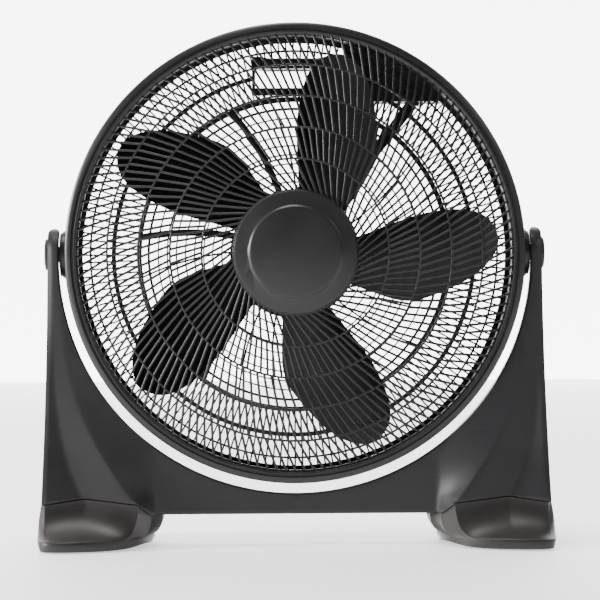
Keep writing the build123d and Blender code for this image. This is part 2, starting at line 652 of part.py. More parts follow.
with BuildPart() as front_grille:
    with BuildSketch(head_plane(GUARD_RIM_BACK_Y)):
        add(Face(Wire.make_circle(GUARD_RIM_R), front_cells))
    extrude(amount=GUARD_RIM_BACK_Y - GUARD_HUB_Y + 5.0)
    with BuildSketch(PROFILE_PLANE) as dome_profile:
        with BuildLine():
            crown = (0, dome_y(0))
            shoulder = (OPENING_R, dome_y(OPENING_R))
            ThreePointArc(crown, (OPENING_R / 2, dome_y(OPENING_R / 2)), shoulder)
            Polyline(
                shoulder,
                (GUARD_RIM_R, LIP_BACK_Y),
                (GUARD_RIM_R, GUARD_RIM_BACK_Y),
                (OPENING_R - 1.2, GUARD_RIM_BACK_Y),
                (OPENING_R - 1.2, dome_y(OPENING_R - 1.2) + GUARD_THICKNESS),
            )
            ThreePointArc(
                (OPENING_R - 1.2, dome_y(OPENING_R - 1.2) + GUARD_THICKNESS),
                (OPENING_R / 2, dome_y(OPENING_R / 2) + GUARD_THICKNESS),
                (0, dome_y(0) + GUARD_THICKNESS),
            )
            Line((0, dome_y(0) + GUARD_THICKNESS), crown)
        make_face()
    dome = revolve(dome_profile.sketch, axis=FAN_AXIS, mode=Mode.PRIVATE)
    add(dome, mode=Mode.INTERSECT)
    # Sockets for the hub cap's posts.
    with BuildSketch(head_plane(0)) as sockets:
        with PolarLocations(HUB_R * 0.6, 3, start_angle=90):
            Circle(3.0 + SEAT_CLEARANCE)
    extrude(sockets.sketch, amount=2 * DOME_R, mode=Mode.SUBTRACT)
save(front_grille, "front_grille")

CAP_BACK_Y = dome_y(0) - 0.1
CAP_DISC_R = HUB_R * 0.75
with BuildPart() as hub_cap:
    revolve(
        outline(
            PROFILE_PLANE,
            [
                (0, CAP_BACK_Y),
                (HUB_R - 4.0, CAP_BACK_Y),
                (HUB_R - 0.5, CAP_BACK_Y + 0.6),
                (HUB_R, CAP_BACK_Y - 0.6),
                (HUB_R - 1.5, CAP_BACK_Y - 3.0),
                (HUB_R - 5.0, CAP_BACK_Y - 4.0),
                (CAP_DISC_R + 1.5, CAP_BACK_Y - 4.4),
                (CAP_DISC_R, CAP_BACK_Y - 5.4),
                (CAP_DISC_R - 1.5, CAP_BACK_Y - 7.2),
                (CAP_DISC_R - 5.0, CAP_BACK_Y - 8.2),
                (0, CAP_BACK_Y - 8.6),
            ],
        ),
        axis=FAN_AXIS,
    )
    with BuildSketch(head_plane(CAP_BACK_Y)) as posts:
        with PolarLocations(HUB_R * 0.6, 3, start_angle=90):
            Circle(3.0)
    extrude(posts.sketch, amount=7.0, dir=REARWARD)
save(hub_cap, "hub_cap")


# ---- Rear guard ---------------------------------------------------------------------
REAR_RIBS = 176
REAR_RING_INSETS = (36.0, 10.4, 0.0)  # the outer rings, in from the opening's edge
REAR_RING_RADII = (THICK_RING_R, *[OPENING_R - inset for inset in REAR_RING_INSETS])
INNER_SECTORS = 24
INNER_RINGS = 10
INNER_SWEEP = 10.5
INNER_START = 6.5
SPOKE_WIDTH = 8.0
REAR_RIM_R = DRUM_OUTER_R
WINDOW_HALF_WIDTH = 44.5
WINDOW_LOW = THICK_RING_R + 14.5
WINDOW_HIGH = WINDOW_LOW + 22.5
WINDOW_FRAME = 4.0  # collar beside the window
WINDOW_FRAME_LOW = 8.5
WINDOW_FRAME_HIGH = 10.0
COLLAR_DEPTH = 8.0
COVER_SCREW_R = REAR_PLATE_R - 11.0
NOSE_HOLE_R = 20.0

rear_cells = []
for inner_r, outer_r in zip(REAR_RING_RADII, REAR_RING_RADII[1:]):
    width = THICK_RING_WIDTH if inner_r == THICK_RING_R else GUARD_RING_WIDTH
    rear_cells += lattice_cells(inner_r, outer_r, REAR_RIBS, 0.0, (2.0,), ring_width=width)
inner_pitch = (THICK_RING_R - REAR_PLATE_R) / INNER_RINGS
spoke_widths = (2.2, 2.2, SPOKE_WIDTH, 2.2)
for ring in range(INNER_RINGS):
    inner_r = REAR_PLATE_R + ring * inner_pitch
    already = INNER_SWEEP * (1 - (ring + 1) / INNER_RINGS)
    rear_cells += lattice_cells(
        inner_r,
        inner_r + inner_pitch,
        INNER_SECTORS,
        INNER_SWEEP / INNER_RINGS,
        spoke_widths,
        start=INNER_START + already,
        ring_width=THICK_RING_WIDTH / 2 if ring == INNER_RINGS - 1 else 1.8,
    )

with BuildPart() as rear_grille:
    with BuildSketch(head_plane(REAR_BACK_Y)):
        add(Face(Wire.make_circle(REAR_RIM_R), rear_cells))
    extrude(amount=REAR_THICKNESS)
    # Frame of the carry window: a collar round a clear opening.
    with BuildSketch(head_plane(REAR_BACK_Y)) as collar:
        with Locations((0, WINDOW_LOW - WINDOW_FRAME_LOW)):
            Rectangle(
                2 * (WINDOW_HALF_WIDTH + WINDOW_FRAME),
                WINDOW_FRAME_LOW + WINDOW_HIGH - WINDOW_LOW + WINDOW_FRAME_HIGH,
                align=(Align.CENTER, Align.MIN),
            )
    extrude(collar.sketch, amount=REAR_THICKNESS)
    extrude(collar.sketch, amount=COLLAR_DEPTH, dir=REARWARD)
    with BuildSketch(head_plane(0)) as window:
        with Locations((0, (WINDOW_LOW + WINDOW_HIGH) / 2)):
            Rectangle(2 * WINDOW_HALF_WIDTH, WINDOW_HIGH - WINDOW_LOW)
    extrude(window.sketch, amount=OPENING_R, dir=REARWARD, mode=Mode.SUBTRACT)
    # Screw lugs on the rim.
    with BuildSketch(head_plane(REAR_BACK_Y)) as lugs:
        with PolarLocations(GUARD_SCREW_PITCH_R, GUARD_SCREW_COUNT, start_angle=30):
            Circle(GUARD_LUG_R)
    extrude(lugs.sketch, amount=REAR_THICKNESS)
    # Holes: motor nose, motor bolts, rim screws and cover screws.
    with BuildSketch(head_plane(REAR_BACK_Y)) as holes:
        Circle(NOSE_HOLE_R)
        with PolarLocations(MOTOR_BOLT_R, 4, start_angle=45):
            Circle(2.2)
        with PolarLocations(GUARD_SCREW_PITCH_R, GUARD_SCREW_COUNT, start_angle=30):
            Circle(SCREW_R + SEAT_CLEARANCE)
        with PolarLocations(COVER_SCREW_R, 4, start_angle=0):
            Circle(SCREW_R + SEAT_CLEARANCE)
    extrude(holes.sketch, amount=REAR_THICKNESS, mode=Mode.SUBTRACT)
save(rear_grille, "rear_grille")

with BuildPart() as rear_guard_screws:
    with BuildSketch(head_plane(REAR_BACK_Y)) as shanks:
        with PolarLocations(GUARD_SCREW_PITCH_R, GUARD_SCREW_COUNT, start_angle=30):
            Circle(SCREW_R)
    extrude(shanks.sketch, amount=GUARD_SCREW_LENGTH)
    with BuildSketch(head_plane(REAR_BACK_Y)) as heads:
        with PolarLocations(GUARD_SCREW_PITCH_R, GUARD_SCREW_COUNT, start_angle=30):
            Circle(SCREW_HEAD_R)
    extrude(heads.sketch, amount=SCREW_HEAD_HEIGHT, dir=REARWARD)
save(rear_guard_screws, "rear_guard_screws")


# ---- Motor --------------------------------------------------------------------------
LUG_R = 4.5
BOLT_SHANK_R = 2.0
BOLT_CAP_R = 2.9
BELL_LUG_LENGTH = 6.0
NOSE_R = 14.0
NUT_HEIGHT = 3.2


def bell(front_y, open_y, bearing_outer_y, label):
    """One end bell: a cup whose nose holds a bearing; front_y may lie either side of open_y."""
    way = 1.0 if open_y > front_y else -1.0
    inside_r = MOTOR_R - MOTOR_WALL
    pocket_r = BEARING_R + RUNNING_CLEARANCE
    nose_y = bearing_outer_y - way * 1.5
    with BuildPart() as cup:
        revolve(
            outline(
                PROFILE_PLANE,
                [
                    (inside_r, open_y),
                    (MOTOR_R, open_y),
                    (MOTOR_R, front_y),
                    (NOSE_R, front_y),
                    (NOSE_R, nose_y),
                    (SHAFT_R + 0.8, nose_y),
                    (SHAFT_R + 0.8, bearing_outer_y),
                    (pocket_r, bearing_outer_y),
                    (pocket_r, front_y + way * 2.5),
                    (inside_r, front_y + way * 2.5),
                ],
            ),
            axis=FAN_AXIS,
        )
        length = BELL_LUG_LENGTH if way > 0 else abs(front_y - open_y)
        with BuildSketch(head_plane(open_y)) as lugs:
            with PolarLocations(MOTOR_BOLT_R, 4, start_angle=45):
                Circle(LUG_R)
            Circle(inside_r + 0.5, mode=Mode.SUBTRACT)
        extrude(lugs.sketch, amount=length, dir=(0, -way, 0))
        with BuildSketch(head_plane(open_y)) as bolt_holes:
            with PolarLocations(MOTOR_BOLT_R, 4, start_angle=45):
                Circle(BOLT_SHANK_R + SEAT_CLEARANCE)
        extrude(bolt_holes.sketch, amount=length, dir=(0, -way, 0), mode=Mode.SUBTRACT)
    save(cup, label)


bell(MOTOR_FRONT_Y, MOTOR_SPLIT_Y, FRONT_BEARING_Y, "motor_front_bell")
bell(DRUM_BACK_Y, MOTOR_SPLIT_Y, REAR_BEARING_Y + BEARING_WIDTH, "motor_rear_bell")

STACK_FRONT_Y = STACK_BACK_Y - STACK_LENGTH
turned(
    [
        (STATOR_BORE_R, STACK_FRONT_Y),
        (STACK_R, STACK_FRONT_Y),
        (STACK_R, STACK_BACK_Y),
        (STATOR_BORE_R, STACK_BACK_Y),
    ],
    "stator_core",
)

with BuildPart() as stator_windings:
    for start_y, end_y in (
        (MOTOR_FRONT_Y + 2.8, STACK_FRONT_Y),
        (STACK_BACK_Y, DRUM_BACK_Y - 2.8),
    ):
        middle = (start_y + end_y) / 2
        revolve(
            outline(
                PROFILE_PLANE,
                [
                    (STATOR_BORE_R + 2.0, end_y),
                    (STATOR_BORE_R + 2.0, middle),
                    (STATOR_BORE_R + 5.0, start_y),
                    (STACK_R - 6.0, start_y),
                    (STACK_R - 3.0, middle),
                    (STACK_R - 3.0, end_y),
                ],
            ),
            axis=FAN_AXIS,
        )
save(stator_windings, "stator_windings")

ROTOR_END_LENGTH = 3.0
turned(
    [
        (SHAFT_R + RUNNING_CLEARANCE, STACK_FRONT_Y),
        (ROTOR_CORE_R, STACK_FRONT_Y),
        (ROTOR_CORE_R, STACK_BACK_Y),
        (SHAFT_R + RUNNING_CLEARANCE, STACK_BACK_Y),
    ],
    "rotor_core",
)
with BuildPart() as rotor_end_rings:
    for base_y, way in ((STACK_FRONT_Y, -1.0), (STACK_BACK_Y, 1.0)):
        with BuildSketch(head_plane(base_y)) as ring:
            Circle(ROTOR_CORE_R - 1.0)
            Circle(ROTOR_CORE_R - 8.0, mode=Mode.SUBTRACT)
        extrude(ring.sketch, amount=ROTOR_END_LENGTH, dir=(0, way, 0))
save(rotor_end_rings, "rotor_end_rings")

for bearing_y, name in ((FRONT_BEARING_Y, "front_bearing"), (REAR_BEARING_Y, "rear_bearing")):
    turned(
        [
            (SHAFT_R + RUNNING_CLEARANCE, bearing_y),
            (BEARING_R, bearing_y),
            (BEARING_R, bearing_y + BEARING_WIDTH),
            (SHAFT_R + RUNNING_CLEARANCE, bearing_y + BEARING_WIDTH),
        ],
        name,
    )

with BuildPart() as motor_bolts:
    head_y = MOTOR_SPLIT_Y - BELL_LUG_LENGTH
    with BuildSketch(head_plane(head_y)) as shanks:
        with PolarLocations(MOTOR_BOLT_R, 4, start_angle=45):
            Circle(BOLT_SHANK_R)
    extrude(shanks.sketch, amount=REAR_BACK_Y + NUT_HEIGHT + 1.0 - head_y, dir=REARWARD)
    with BuildSketch(head_plane(head_y)) as heads:
        with PolarLocations(MOTOR_BOLT_R, 4, start_angle=45):
            Circle(BOLT_CAP_R)
    extrude(heads.sketch, amount=2.6)
save(motor_bolts, "motor_bolts")

with BuildPart() as motor_nuts:
    with BuildSketch(head_plane(REAR_BACK_Y)) as nuts:
        with PolarLocations(MOTOR_BOLT_R, 4, start_angle=45):
            RegularPolygon(4.0, 6)
            Circle(BOLT_SHANK_R + RUNNING_CLEARANCE, mode=Mode.SUBTRACT)
    extrude(nuts.sketch, amount=NUT_HEIGHT, dir=REARWARD)
save(motor_nuts, "motor_nuts")

# Rear cover: a shallow cup with a ring of slots, screwed to the rear guard's plate.
COVER_R = REAR_PLATE_R - 4.0
COVER_DEPTH = 20.0
COVER_WALL = 2.2
COVER_BACK_Y = REAR_BACK_Y + COVER_DEPTH
with BuildPart() as motor_rear_cover:
    revolve(
        outline(
            PROFILE_PLANE,
            [
                (COVER_R, REAR_BACK_Y),
                (COVER_R, REAR_BACK_Y + 8.0),
                (COVER_R - 3.0, COVER_BACK_Y - 3.0),
                (COVER_R - 8.0, COVER_BACK_Y),
                (0, COVER_BACK_Y),
                (0, COVER_BACK_Y - COVER_WALL),
                (COVER_R - 9.0, COVER_BACK_Y - COVER_WALL),
                (COVER_R - 5.0, COVER_BACK_Y - 5.0),
                (COVER_R - COVER_WALL, REAR_BACK_Y + 7.0),
                (COVER_R - COVER_WALL, REAR_BACK_Y),
            ],
        ),
        axis=FAN_AXIS,
    )
    with BuildSketch(head_plane(COVER_BACK_Y)) as posts:
        with PolarLocations(COVER_SCREW_R, 4, start_angle=0):
            Circle(4.0)
    extrude(posts.sketch, amount=COVER_DEPTH)
    with BuildSketch(head_plane(COVER_BACK_Y + 1.0)) as slots:
        with PolarLocations(COVER_R * 0.5, 16, start_angle=11.25):
            SlotOverall(24.0, 4.0)
    extrude(slots.sketch, amount=COVER_WALL + 3.0, mode=Mode.SUBTRACT)
    with BuildSketch(head_plane(COVER_BACK_Y)) as screw_holes:
        with PolarLocations(COVER_SCREW_R, 4, start_angle=0):
            Circle(SCREW_R + SEAT_CLEARANCE)
    extrude(screw_holes.sketch, amount=COVER_DEPTH, mode=Mode.SUBTRACT)
save(motor_rear_cover, "motor_rear_cover")

with BuildPart() as cover_screws:
    with BuildSketch(head_plane(COVER_BACK_Y)) as shanks:
        with PolarLocations(COVER_SCREW_R, 4, start_angle=0):
            Circle(SCREW_R)
    extrude(shanks.sketch, amount=COVER_DEPTH + REAR_THICKNESS - 0.5)
    with BuildSketch(head_plane(COVER_BACK_Y)) as heads:
        with PolarLocations(COVER_SCREW_R, 4, start_angle=0):
            Circle(SCREW_HEAD_R)
    extrude(heads.sketch, amount=SCREW_HEAD_HEIGHT, dir=REARWARD)
save(cover_screws, "cover_screws")


# ---- Rotor --------------------------------------------------------------------------
SHAFT_FRONT_Y = -52.0
HUB_FRONT_Y = -42.0
HUB_BACK_Y = MOTOR_FRONT_Y - 7.0
PIN_Y = HUB_BACK_Y - 11.0
PIN_R = 1.5
BORE_BOSS_R = 10.0
BORE_BOSS_BACK_Y = HUB_BACK_Y - 8.0

with BuildPart() as motor_shaft:
    disc(head_plane(SHAFT_FRONT_Y), SHAFT_R, REAR_BEARING_Y + BEARING_WIDTH - SHAFT_FRONT_Y, REARWARD)
    with BuildSketch(Plane(origin=(0, PIN_Y, HEAD_Z), x_dir=(0, 1, 0), z_dir=(1, 0, 0))) as pin_hole:
        Circle(PIN_R + RUNNING_CLEARANCE)
    extrude(pin_hole.sketch, amount=2 * SHAFT_R, both=True, mode=Mode.SUBTRACT)
save(motor_shaft, "motor_shaft")

with BuildPart() as drive_pin:
    with BuildSketch(Plane(origin=(0, PIN_Y, HEAD_Z), x_dir=(0, 1, 0), z_dir=(1, 0, 0))) as pin:
        Circle(PIN_R)
    extrude(pin.sketch, amount=BORE_BOSS_R - 1.0, both=True)
save(drive_pin, "drive_pin")


def blade_section(radius, middle_y, pitch, camber):
    """Section of the upright blade at a radius: a cambered slab turned by its pitch."""
    half = 72.0
    turn = radians(pitch)
    low, high = camber, camber + BLADE_THICKNESS

    def place(across, rise):
        x = across * cos(turn) - rise * sin(turn)
        return (x, middle_y + across * sin(turn) + rise * cos(turn))

    with BuildSketch(Plane.XY.offset(HEAD_Z + radius)) as section:
        with BuildLine():
            ThreePointArc(place(-half, 0), place(0, low), place(half, 0))
            Line(place(half, 0), place(half, BLADE_THICKNESS))
            ThreePointArc(place(half, BLADE_THICKNESS), place(0, high), place(-half, BLADE_THICKNESS))
            Line(place(-half, BLADE_THICKNESS), place(-half, 0))
        make_face()
    return section.sketch


# One blade: a twisted slab trimmed to the blade's outline. Its edge on the +X side leads.
with BuildPart() as blade:
    loft(
        [
            blade_section(ROTOR_HUB_R - 12.0, -28.0, 36.0, 7.0),
            blade_section(BLADE_R * 0.48, -19.0, 31.0, 9.0),
            blade_section(BLADE_R * 0.78, -14.0, 25.0, 8.0),
            blade_section(BLADE_R + 10.0, -13.0, 21.0, 5.0),
        ]
    )
    with BuildSketch(head_plane(0)) as blade_outline:
        with BuildLine():
            k = BLADE_R / 234.0
            Spline(
                (34.0 * k, 62.0 * k),
                (45.0 * k, 95.0 * k),
                (53.0 * k, 135.0 * k),
                (42.0 * k, 171.0 * k),
                (15.0 * k, 216.0 * k),
                (-18.0 * k, 233.0 * k),
                (-43.0 * k, 219.0 * k),
                (-52.0 * k, 180.0 * k),
                (-43.0 * k, 132.0 * k),
                (-29.0 * k, 95.0 * k),
                (-18.0 * k, 66.0 * k),
            )
            Polyline((-18.0 * k, 66.0 * k), (-12.0, 44.0), (30.0, 36.0), (34.0 * k, 62.0 * k))
        make_face()
    extrude(blade_outline.sketch, amount=90.0, both=True, mode=Mode.INTERSECT)
    # The root ends inside the hub's wall.
    with BuildSketch(head_plane(0)) as hub_space:
        Circle(ROTOR_HUB_R - ROTOR_HUB_WALL / 2)
    extrude(hub_space.sketch, amount=90.0, both=True, mode=Mode.SUBTRACT)

FIRST_BLADE_ANGLE = 19.0
with BuildPart() as fan_blade:
    hub_inner_r = ROTOR_HUB_R - ROTOR_HUB_WALL
    revolve(
        outline(
            PROFILE_PLANE,
            [
                (SHAFT_R + RUNNING_CLEARANCE, HUB_FRONT_Y),
                (ROTOR_HUB_R - 5.0, HUB_FRONT_Y),
                (ROTOR_HUB_R, HUB_FRONT_Y + 5.0),
                (ROTOR_HUB_R, HUB_BACK_Y),
                (hub_inner_r, HUB_BACK_Y),
                (hub_inner_r, HUB_FRONT_Y + 6.0),
                (hub_inner_r - 3.0, HUB_FRONT_Y + 3.0),
                (BORE_BOSS_R, HUB_FRONT_Y + 3.0),
                (BORE_BOSS_R, BORE_BOSS_BACK_Y),
                (SHAFT_R + RUNNING_CLEARANCE, BORE_BOSS_BACK_Y),
            ],
        ),
        axis=FAN_AXIS,
    )
    for index in range(BLADE_COUNT):
        add(blade.part.rotate(FAN_AXIS, FIRST_BLADE_ANGLE + index * 360.0 / BLADE_COUNT))
    # Radial webs stiffen the hub, and a slot takes the drive pin.
    with BuildSketch(head_plane(HUB_FRONT_Y + 2.0)) as webs:
        with PolarLocations(0, 8, start_angle=22.5):
            Rectangle(hub_inner_r + 1.0, 2.0, align=(Align.MIN, Align.CENTER))
        Circle(BORE_BOSS_R - 0.5, mode=Mode.SUBTRACT)
    extrude(webs.sketch, amount=14.0, dir=REARWARD)
    slot_depth = BORE_BOSS_BACK_Y - PIN_Y + PIN_R + RUNNING_CLEARANCE
    with BuildSketch(head_plane(BORE_BOSS_BACK_Y)) as pin_slot:
        Rectangle(2 * BORE_BOSS_R + 2.0, 2 * (PIN_R + RUNNING_CLEARANCE))
    extrude(pin_slot.sketch, amount=slot_depth, mode=Mode.SUBTRACT)
save(fan_blade, "fan_blade")

with BuildPart() as spinner_nut:
    disc(head_plane(HUB_FRONT_Y - 0.1), 13.0, 9.0, FORWARD)
    with BuildSketch(head_plane(HUB_FRONT_Y - 0.1)) as flutes:
        with PolarLocations(14.5, 10):
            Circle(2.5)
    extrude(flutes.sketch, amount=9.0, mode=Mode.SUBTRACT)
    with BuildSketch(head_plane(HUB_FRONT_Y)) as thread:
        Circle(SHAFT_R + RUNNING_CLEARANCE)
    extrude(thread.sketch, amount=20.0, mode=Mode.SUBTRACT)
save(spinner_nut, "spinner_nut")


# ---- Controls -----------------------------------------------------------------------
# The control housing sits behind the rear guard at the upper right, inside the rim.
BOX_LEFT_X = 60.0
BOX_LOW = THICK_RING_R - 1.5
BOX_RIM_R = DRUM_OUTER_R - 2.0
BOX_DEPTH = 34.0
BOX_WALL = 2.4
BOX_BACK_Y = REAR_BACK_Y + BOX_DEPTH
KNOB_PLACE = (110.0, BOX_LOW + 24.0)
KNOB_R = 17.0
KNOB_HEIGHT = 12.0
SPINDLE_R = 3.0
COVER_PLATE = 2.4
BOX_SCREWS = ((BOX_LEFT_X + 7.0, BOX_LOW + 7.0), (BOX_LEFT_X + 7.0, BOX_LOW + 50.0), (156.0, BOX_LOW + 7.0))


def box_outline(inset):
    """Outline of the control housing: a flat bottom and left side under the rim's arc."""
    with BuildSketch(head_plane(0)) as shape:
        with Locations((BOX_LEFT_X + inset, BOX_LOW + inset)):
            Rectangle(2 * BOX_RIM_R, 2 * BOX_RIM_R, align=(Align.MIN, Align.MIN))
        Circle(BOX_RIM_R - inset, mode=Mode.INTERSECT)
    return shape.sketch


def on_plane(sketch, y):
    """The same sketch carried to another plane across the fan's axis."""
    return sketch.moved(Location((0, y, 0)))


with BuildPart() as control_housing:
    extrude(on_plane(box_outline(0.0), REAR_BACK_Y), amount=BOX_DEPTH, dir=REARWARD)
    extrude(
        on_plane(box_outline(BOX_WALL), REAR_BACK_Y + BOX_WALL),
        amount=BOX_DEPTH,
        dir=REARWARD,
        mode=Mode.SUBTRACT,
    )
    with BuildSketch(head_plane(REAR_BACK_Y)) as posts:
        with Locations(*BOX_SCREWS):
            Circle(4.0)
    extrude(posts.sketch, amount=BOX_DEPTH, dir=REARWARD)
    with BuildSketch(head_plane(BOX_BACK_Y)) as pilots:
        with Locations(*BOX_SCREWS):
            Circle(SCREW_R + SEAT_CLEARANCE)
    extrude(pilots.sketch, amount=16.0, mode=Mode.SUBTRACT)
    # Cord inlet hole in the flat bottom.
    inlet_plane = Plane(origin=(140.0, REAR_BACK_Y + BOX_DEPTH / 2, HEAD_Z + BOX_LOW))
    with BuildSketch(inlet_plane) as inlet:
        Circle(6.0 + SEAT_CLEARANCE)
    extrude(inlet.sketch, amount=BOX_WALL, mode=Mode.SUBTRACT)
save(control_housing, "control_housing")

with BuildPart() as cord_inlet:
    with BuildSketch(inlet_plane.offset(-4.0)) as flange:
        Circle(8.5)
    extrude(flange.sketch, amount=4.0)
    with BuildSketch(inlet_plane) as neck:
        Circle(6.0)
    extrude(neck.sketch, amount=BOX_WALL + 4.0)
    with BuildSketch(inlet_plane.offset(-4.0)) as cord_hole:
        Circle(3.7)
    extrude(cord_hole.sketch, amount=BOX_WALL + 8.0, mode=Mode.SUBTRACT)
save(cord_inlet, "cord_inlet")

with BuildPart() as control_cover:
    extrude(on_plane(box_outline(0.0), BOX_BACK_Y), amount=COVER_PLATE, dir=REARWARD)
    with BuildSketch(head_plane(BOX_BACK_Y + COVER_PLATE)) as dial:
        with Locations(KNOB_PLACE):
            Circle(KNOB_R + 5.0)
            Circle(KNOB_R + 3.5, mode=Mode.SUBTRACT)
    extrude(dial.sketch, amount=0.8, dir=REARWARD)
    with BuildSketch(head_plane(BOX_BACK_Y)) as holes:
        with Locations(KNOB_PLACE):
            Circle(SPINDLE_R + 1.5)
        with Locations(*BOX_SCREWS):
            Circle(SCREW_R + SEAT_CLEARANCE)
    extrude(holes.sketch, amount=COVER_PLATE, dir=REARWARD, mode=Mode.SUBTRACT)
save(control_cover, "control_cover")

with BuildPart() as control_screws:
    with BuildSketch(head_plane(BOX_BACK_Y + COVER_PLATE)) as shanks:
        with Locations(*BOX_SCREWS):
            Circle(SCREW_R)
    extrude(shanks.sketch, amount=16.0)
    with BuildSketch(head_plane(BOX_BACK_Y + COVER_PLATE)) as heads:
        with Locations(*BOX_SCREWS):
            Circle(SCREW_HEAD_R)
    extrude(heads.sketch, amount=1.8, dir=REARWARD)
save(control_screws, "control_screws")

SWITCH_DEPTH = 18.0
with BuildPart() as speed_switch:
    with BuildSketch(head_plane(BOX_BACK_Y)) as body:
        with Locations(KNOB_PLACE):
            Rectangle(30.0, 24.0)
    extrude(body.sketch, amount=SWITCH_DEPTH)
    with BuildSketch(head_plane(BOX_BACK_Y)) as bore:
        with Locations(KNOB_PLACE):
            Circle(SPINDLE_R + RUNNING_CLEARANCE)
    extrude(bore.sketch, amount=8.0, mode=Mode.SUBTRACT)
    with BuildSketch(head_plane(BOX_BACK_Y - SWITCH_DEPTH)) as tags:
        with Locations(KNOB_PLACE):
            with GridLocations(7.0, 0.0, 4, 1):
                Rectangle(1.0, 5.0)
    extrude(tags.sketch, amount=6.0)
save(speed_switch, "speed_switch")

with BuildPart() as switch_spindle:
    with BuildSketch(head_plane(BOX_BACK_Y - 7.5)) as spindle:
        with Locations(KNOB_PLACE):
            Circle(SPINDLE_R)
    extrude(spindle.sketch, amount=7.5 + COVER_PLATE + 9.0, dir=REARWARD)
save(switch_spindle, "switch_spindle")

KNOB_FRONT_Y = BOX_BACK_Y + COVER_PLATE + 0.6
with BuildPart() as speed_knob:
    with BuildSketch(head_plane(KNOB_FRONT_Y)) as grip:
        with Locations(KNOB_PLACE):
            Circle(KNOB_R)
    extrude(grip.sketch, amount=KNOB_HEIGHT, dir=REARWARD, taper=4.0)
    fillet(speed_knob.faces().sort_by(Axis.Y)[-1].edges(), radius=1.5)
    with BuildSketch(head_plane(KNOB_FRONT_Y + KNOB_HEIGHT)) as pointer:
        with Locations((KNOB_PLACE[0], KNOB_PLACE[1] + KNOB_R * 0.55)):
            Rectangle(1.6, KNOB_R * 0.7)
    extrude(pointer.sketch, amount=0.6, mode=Mode.SUBTRACT)
    with BuildSketch(head_plane(KNOB_FRONT_Y)) as bore:
        with Locations(KNOB_PLACE):
            Circle(SPINDLE_R + RUNNING_CLEARANCE)
    extrude(bore.sketch, amount=8.6, dir=REARWARD, mode=Mode.SUBTRACT)
save(speed_knob, "speed_knob")

with BuildPart() as run_capacitor:
    with BuildSketch(head_plane(REAR_BACK_Y + BOX_WALL)) as case:
        with Locations((82.0, BOX_LOW + 24.0)):
            RectangleRounded(16.0, 36.0, 2.0)
    extrude(case.sketch, amount=26.0, dir=REARWARD)
save(run_capacitor, "run_capacitor")

# A covered channel takes the motor leads along a spoke to the control housing.
CHANNEL_ANGLE = 38.5
CHANNEL_WIDTH = 13.0
CHANNEL_DEPTH = 8.0
channel_start = REAR_PLATE_R - 3.0
channel_end = BOX_LOW / cos(radians(CHANNEL_ANGLE)) - CHANNEL_WIDTH / 2 * tan(radians(CHANNEL_ANGLE)) - 1.0
with BuildPart() as wiring_channel:
    with BuildSketch(head_plane(REAR_BACK_Y)) as strip:
        with Locations(Location((0, 0), 90.0 - CHANNEL_ANGLE)):
            with Locations((channel_start, 0)):
                length = channel_end - channel_start
                Rectangle(length, CHANNEL_WIDTH, align=(Align.MIN, Align.CENTER))
    extrude(strip.sketch, amount=CHANNEL_DEPTH, dir=REARWARD)
    with BuildSketch(head_plane(REAR_BACK_Y)) as groove:
        with Locations(Location((0, 0), 90.0 - CHANNEL_ANGLE)):
            with Locations((channel_start - 1.0, 0)):
                Rectangle(length + 2.0, CHANNEL_WIDTH - 4.0, align=(Align.MIN, Align.CENTER))
    extrude(groove.sketch, amount=CHANNEL_DEPTH - 2.0, dir=REARWARD, mode=Mode.SUBTRACT)
save(wiring_channel, "wiring_channel")


# ---- Carry handle -------------------------------------------------------------------
HANDLE_HALF_WIDTH = WINDOW_HALF_WIDTH + WINDOW_FRAME
HANDLE_LOW = WINDOW_HIGH + 0.5
HANDLE_BAR = 15.0
HANDLE_FOOT = 10.0
COLLAR_BACK_Y = REAR_BACK_Y + COLLAR_DEPTH
with BuildPart() as carry_handle:
    with BuildSketch(Plane(origin=(0, 0, HEAD_Z + HANDLE_LOW))) as grip_outline:
        with BuildLine():
            Polyline(
                (-HANDLE_HALF_WIDTH, COLLAR_BACK_Y),
                (-HANDLE_HALF_WIDTH, COLLAR_BACK_Y + 6.0),
                (-HANDLE_HALF_WIDTH + 16.0, COLLAR_BACK_Y + 30.0),
                (HANDLE_HALF_WIDTH - 16.0, COLLAR_BACK_Y + 30.0),
                (HANDLE_HALF_WIDTH, COLLAR_BACK_Y + 6.0),
                (HANDLE_HALF_WIDTH, COLLAR_BACK_Y),
                (HANDLE_HALF_WIDTH - HANDLE_FOOT, COLLAR_BACK_Y),
                (HANDLE_HALF_WIDTH - HANDLE_FOOT - 12.0, COLLAR_BACK_Y + 18.0),
                (-HANDLE_HALF_WIDTH + HANDLE_FOOT + 12.0, COLLAR_BACK_Y + 18.0),
                (-HANDLE_HALF_WIDTH + HANDLE_FOOT, COLLAR_BACK_Y),
                close=True,
            )
        make_face()
    extrude(grip_outline.sketch, amount=HANDLE_BAR)
    fillet(carry_handle.faces().sort_by(Axis.Y)[-1].edges(), radius=3.0)
save(carry_handle, "carry_handle")
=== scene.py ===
# %% [markdown]
# # A tilting floor fan
# The frame holds every part of the fan at its real size and place. This lesson dresses it: it keeps
# the parts whose plain shape is right, rebuilds the ones whose look lives in fine ribs, smooth
# flares and soft edges, and gives each of them a moulded, machined or wound finish.

# %% Load the frame
import json
import math

import bmesh
import bpy
from mathutils import Matrix, Vector


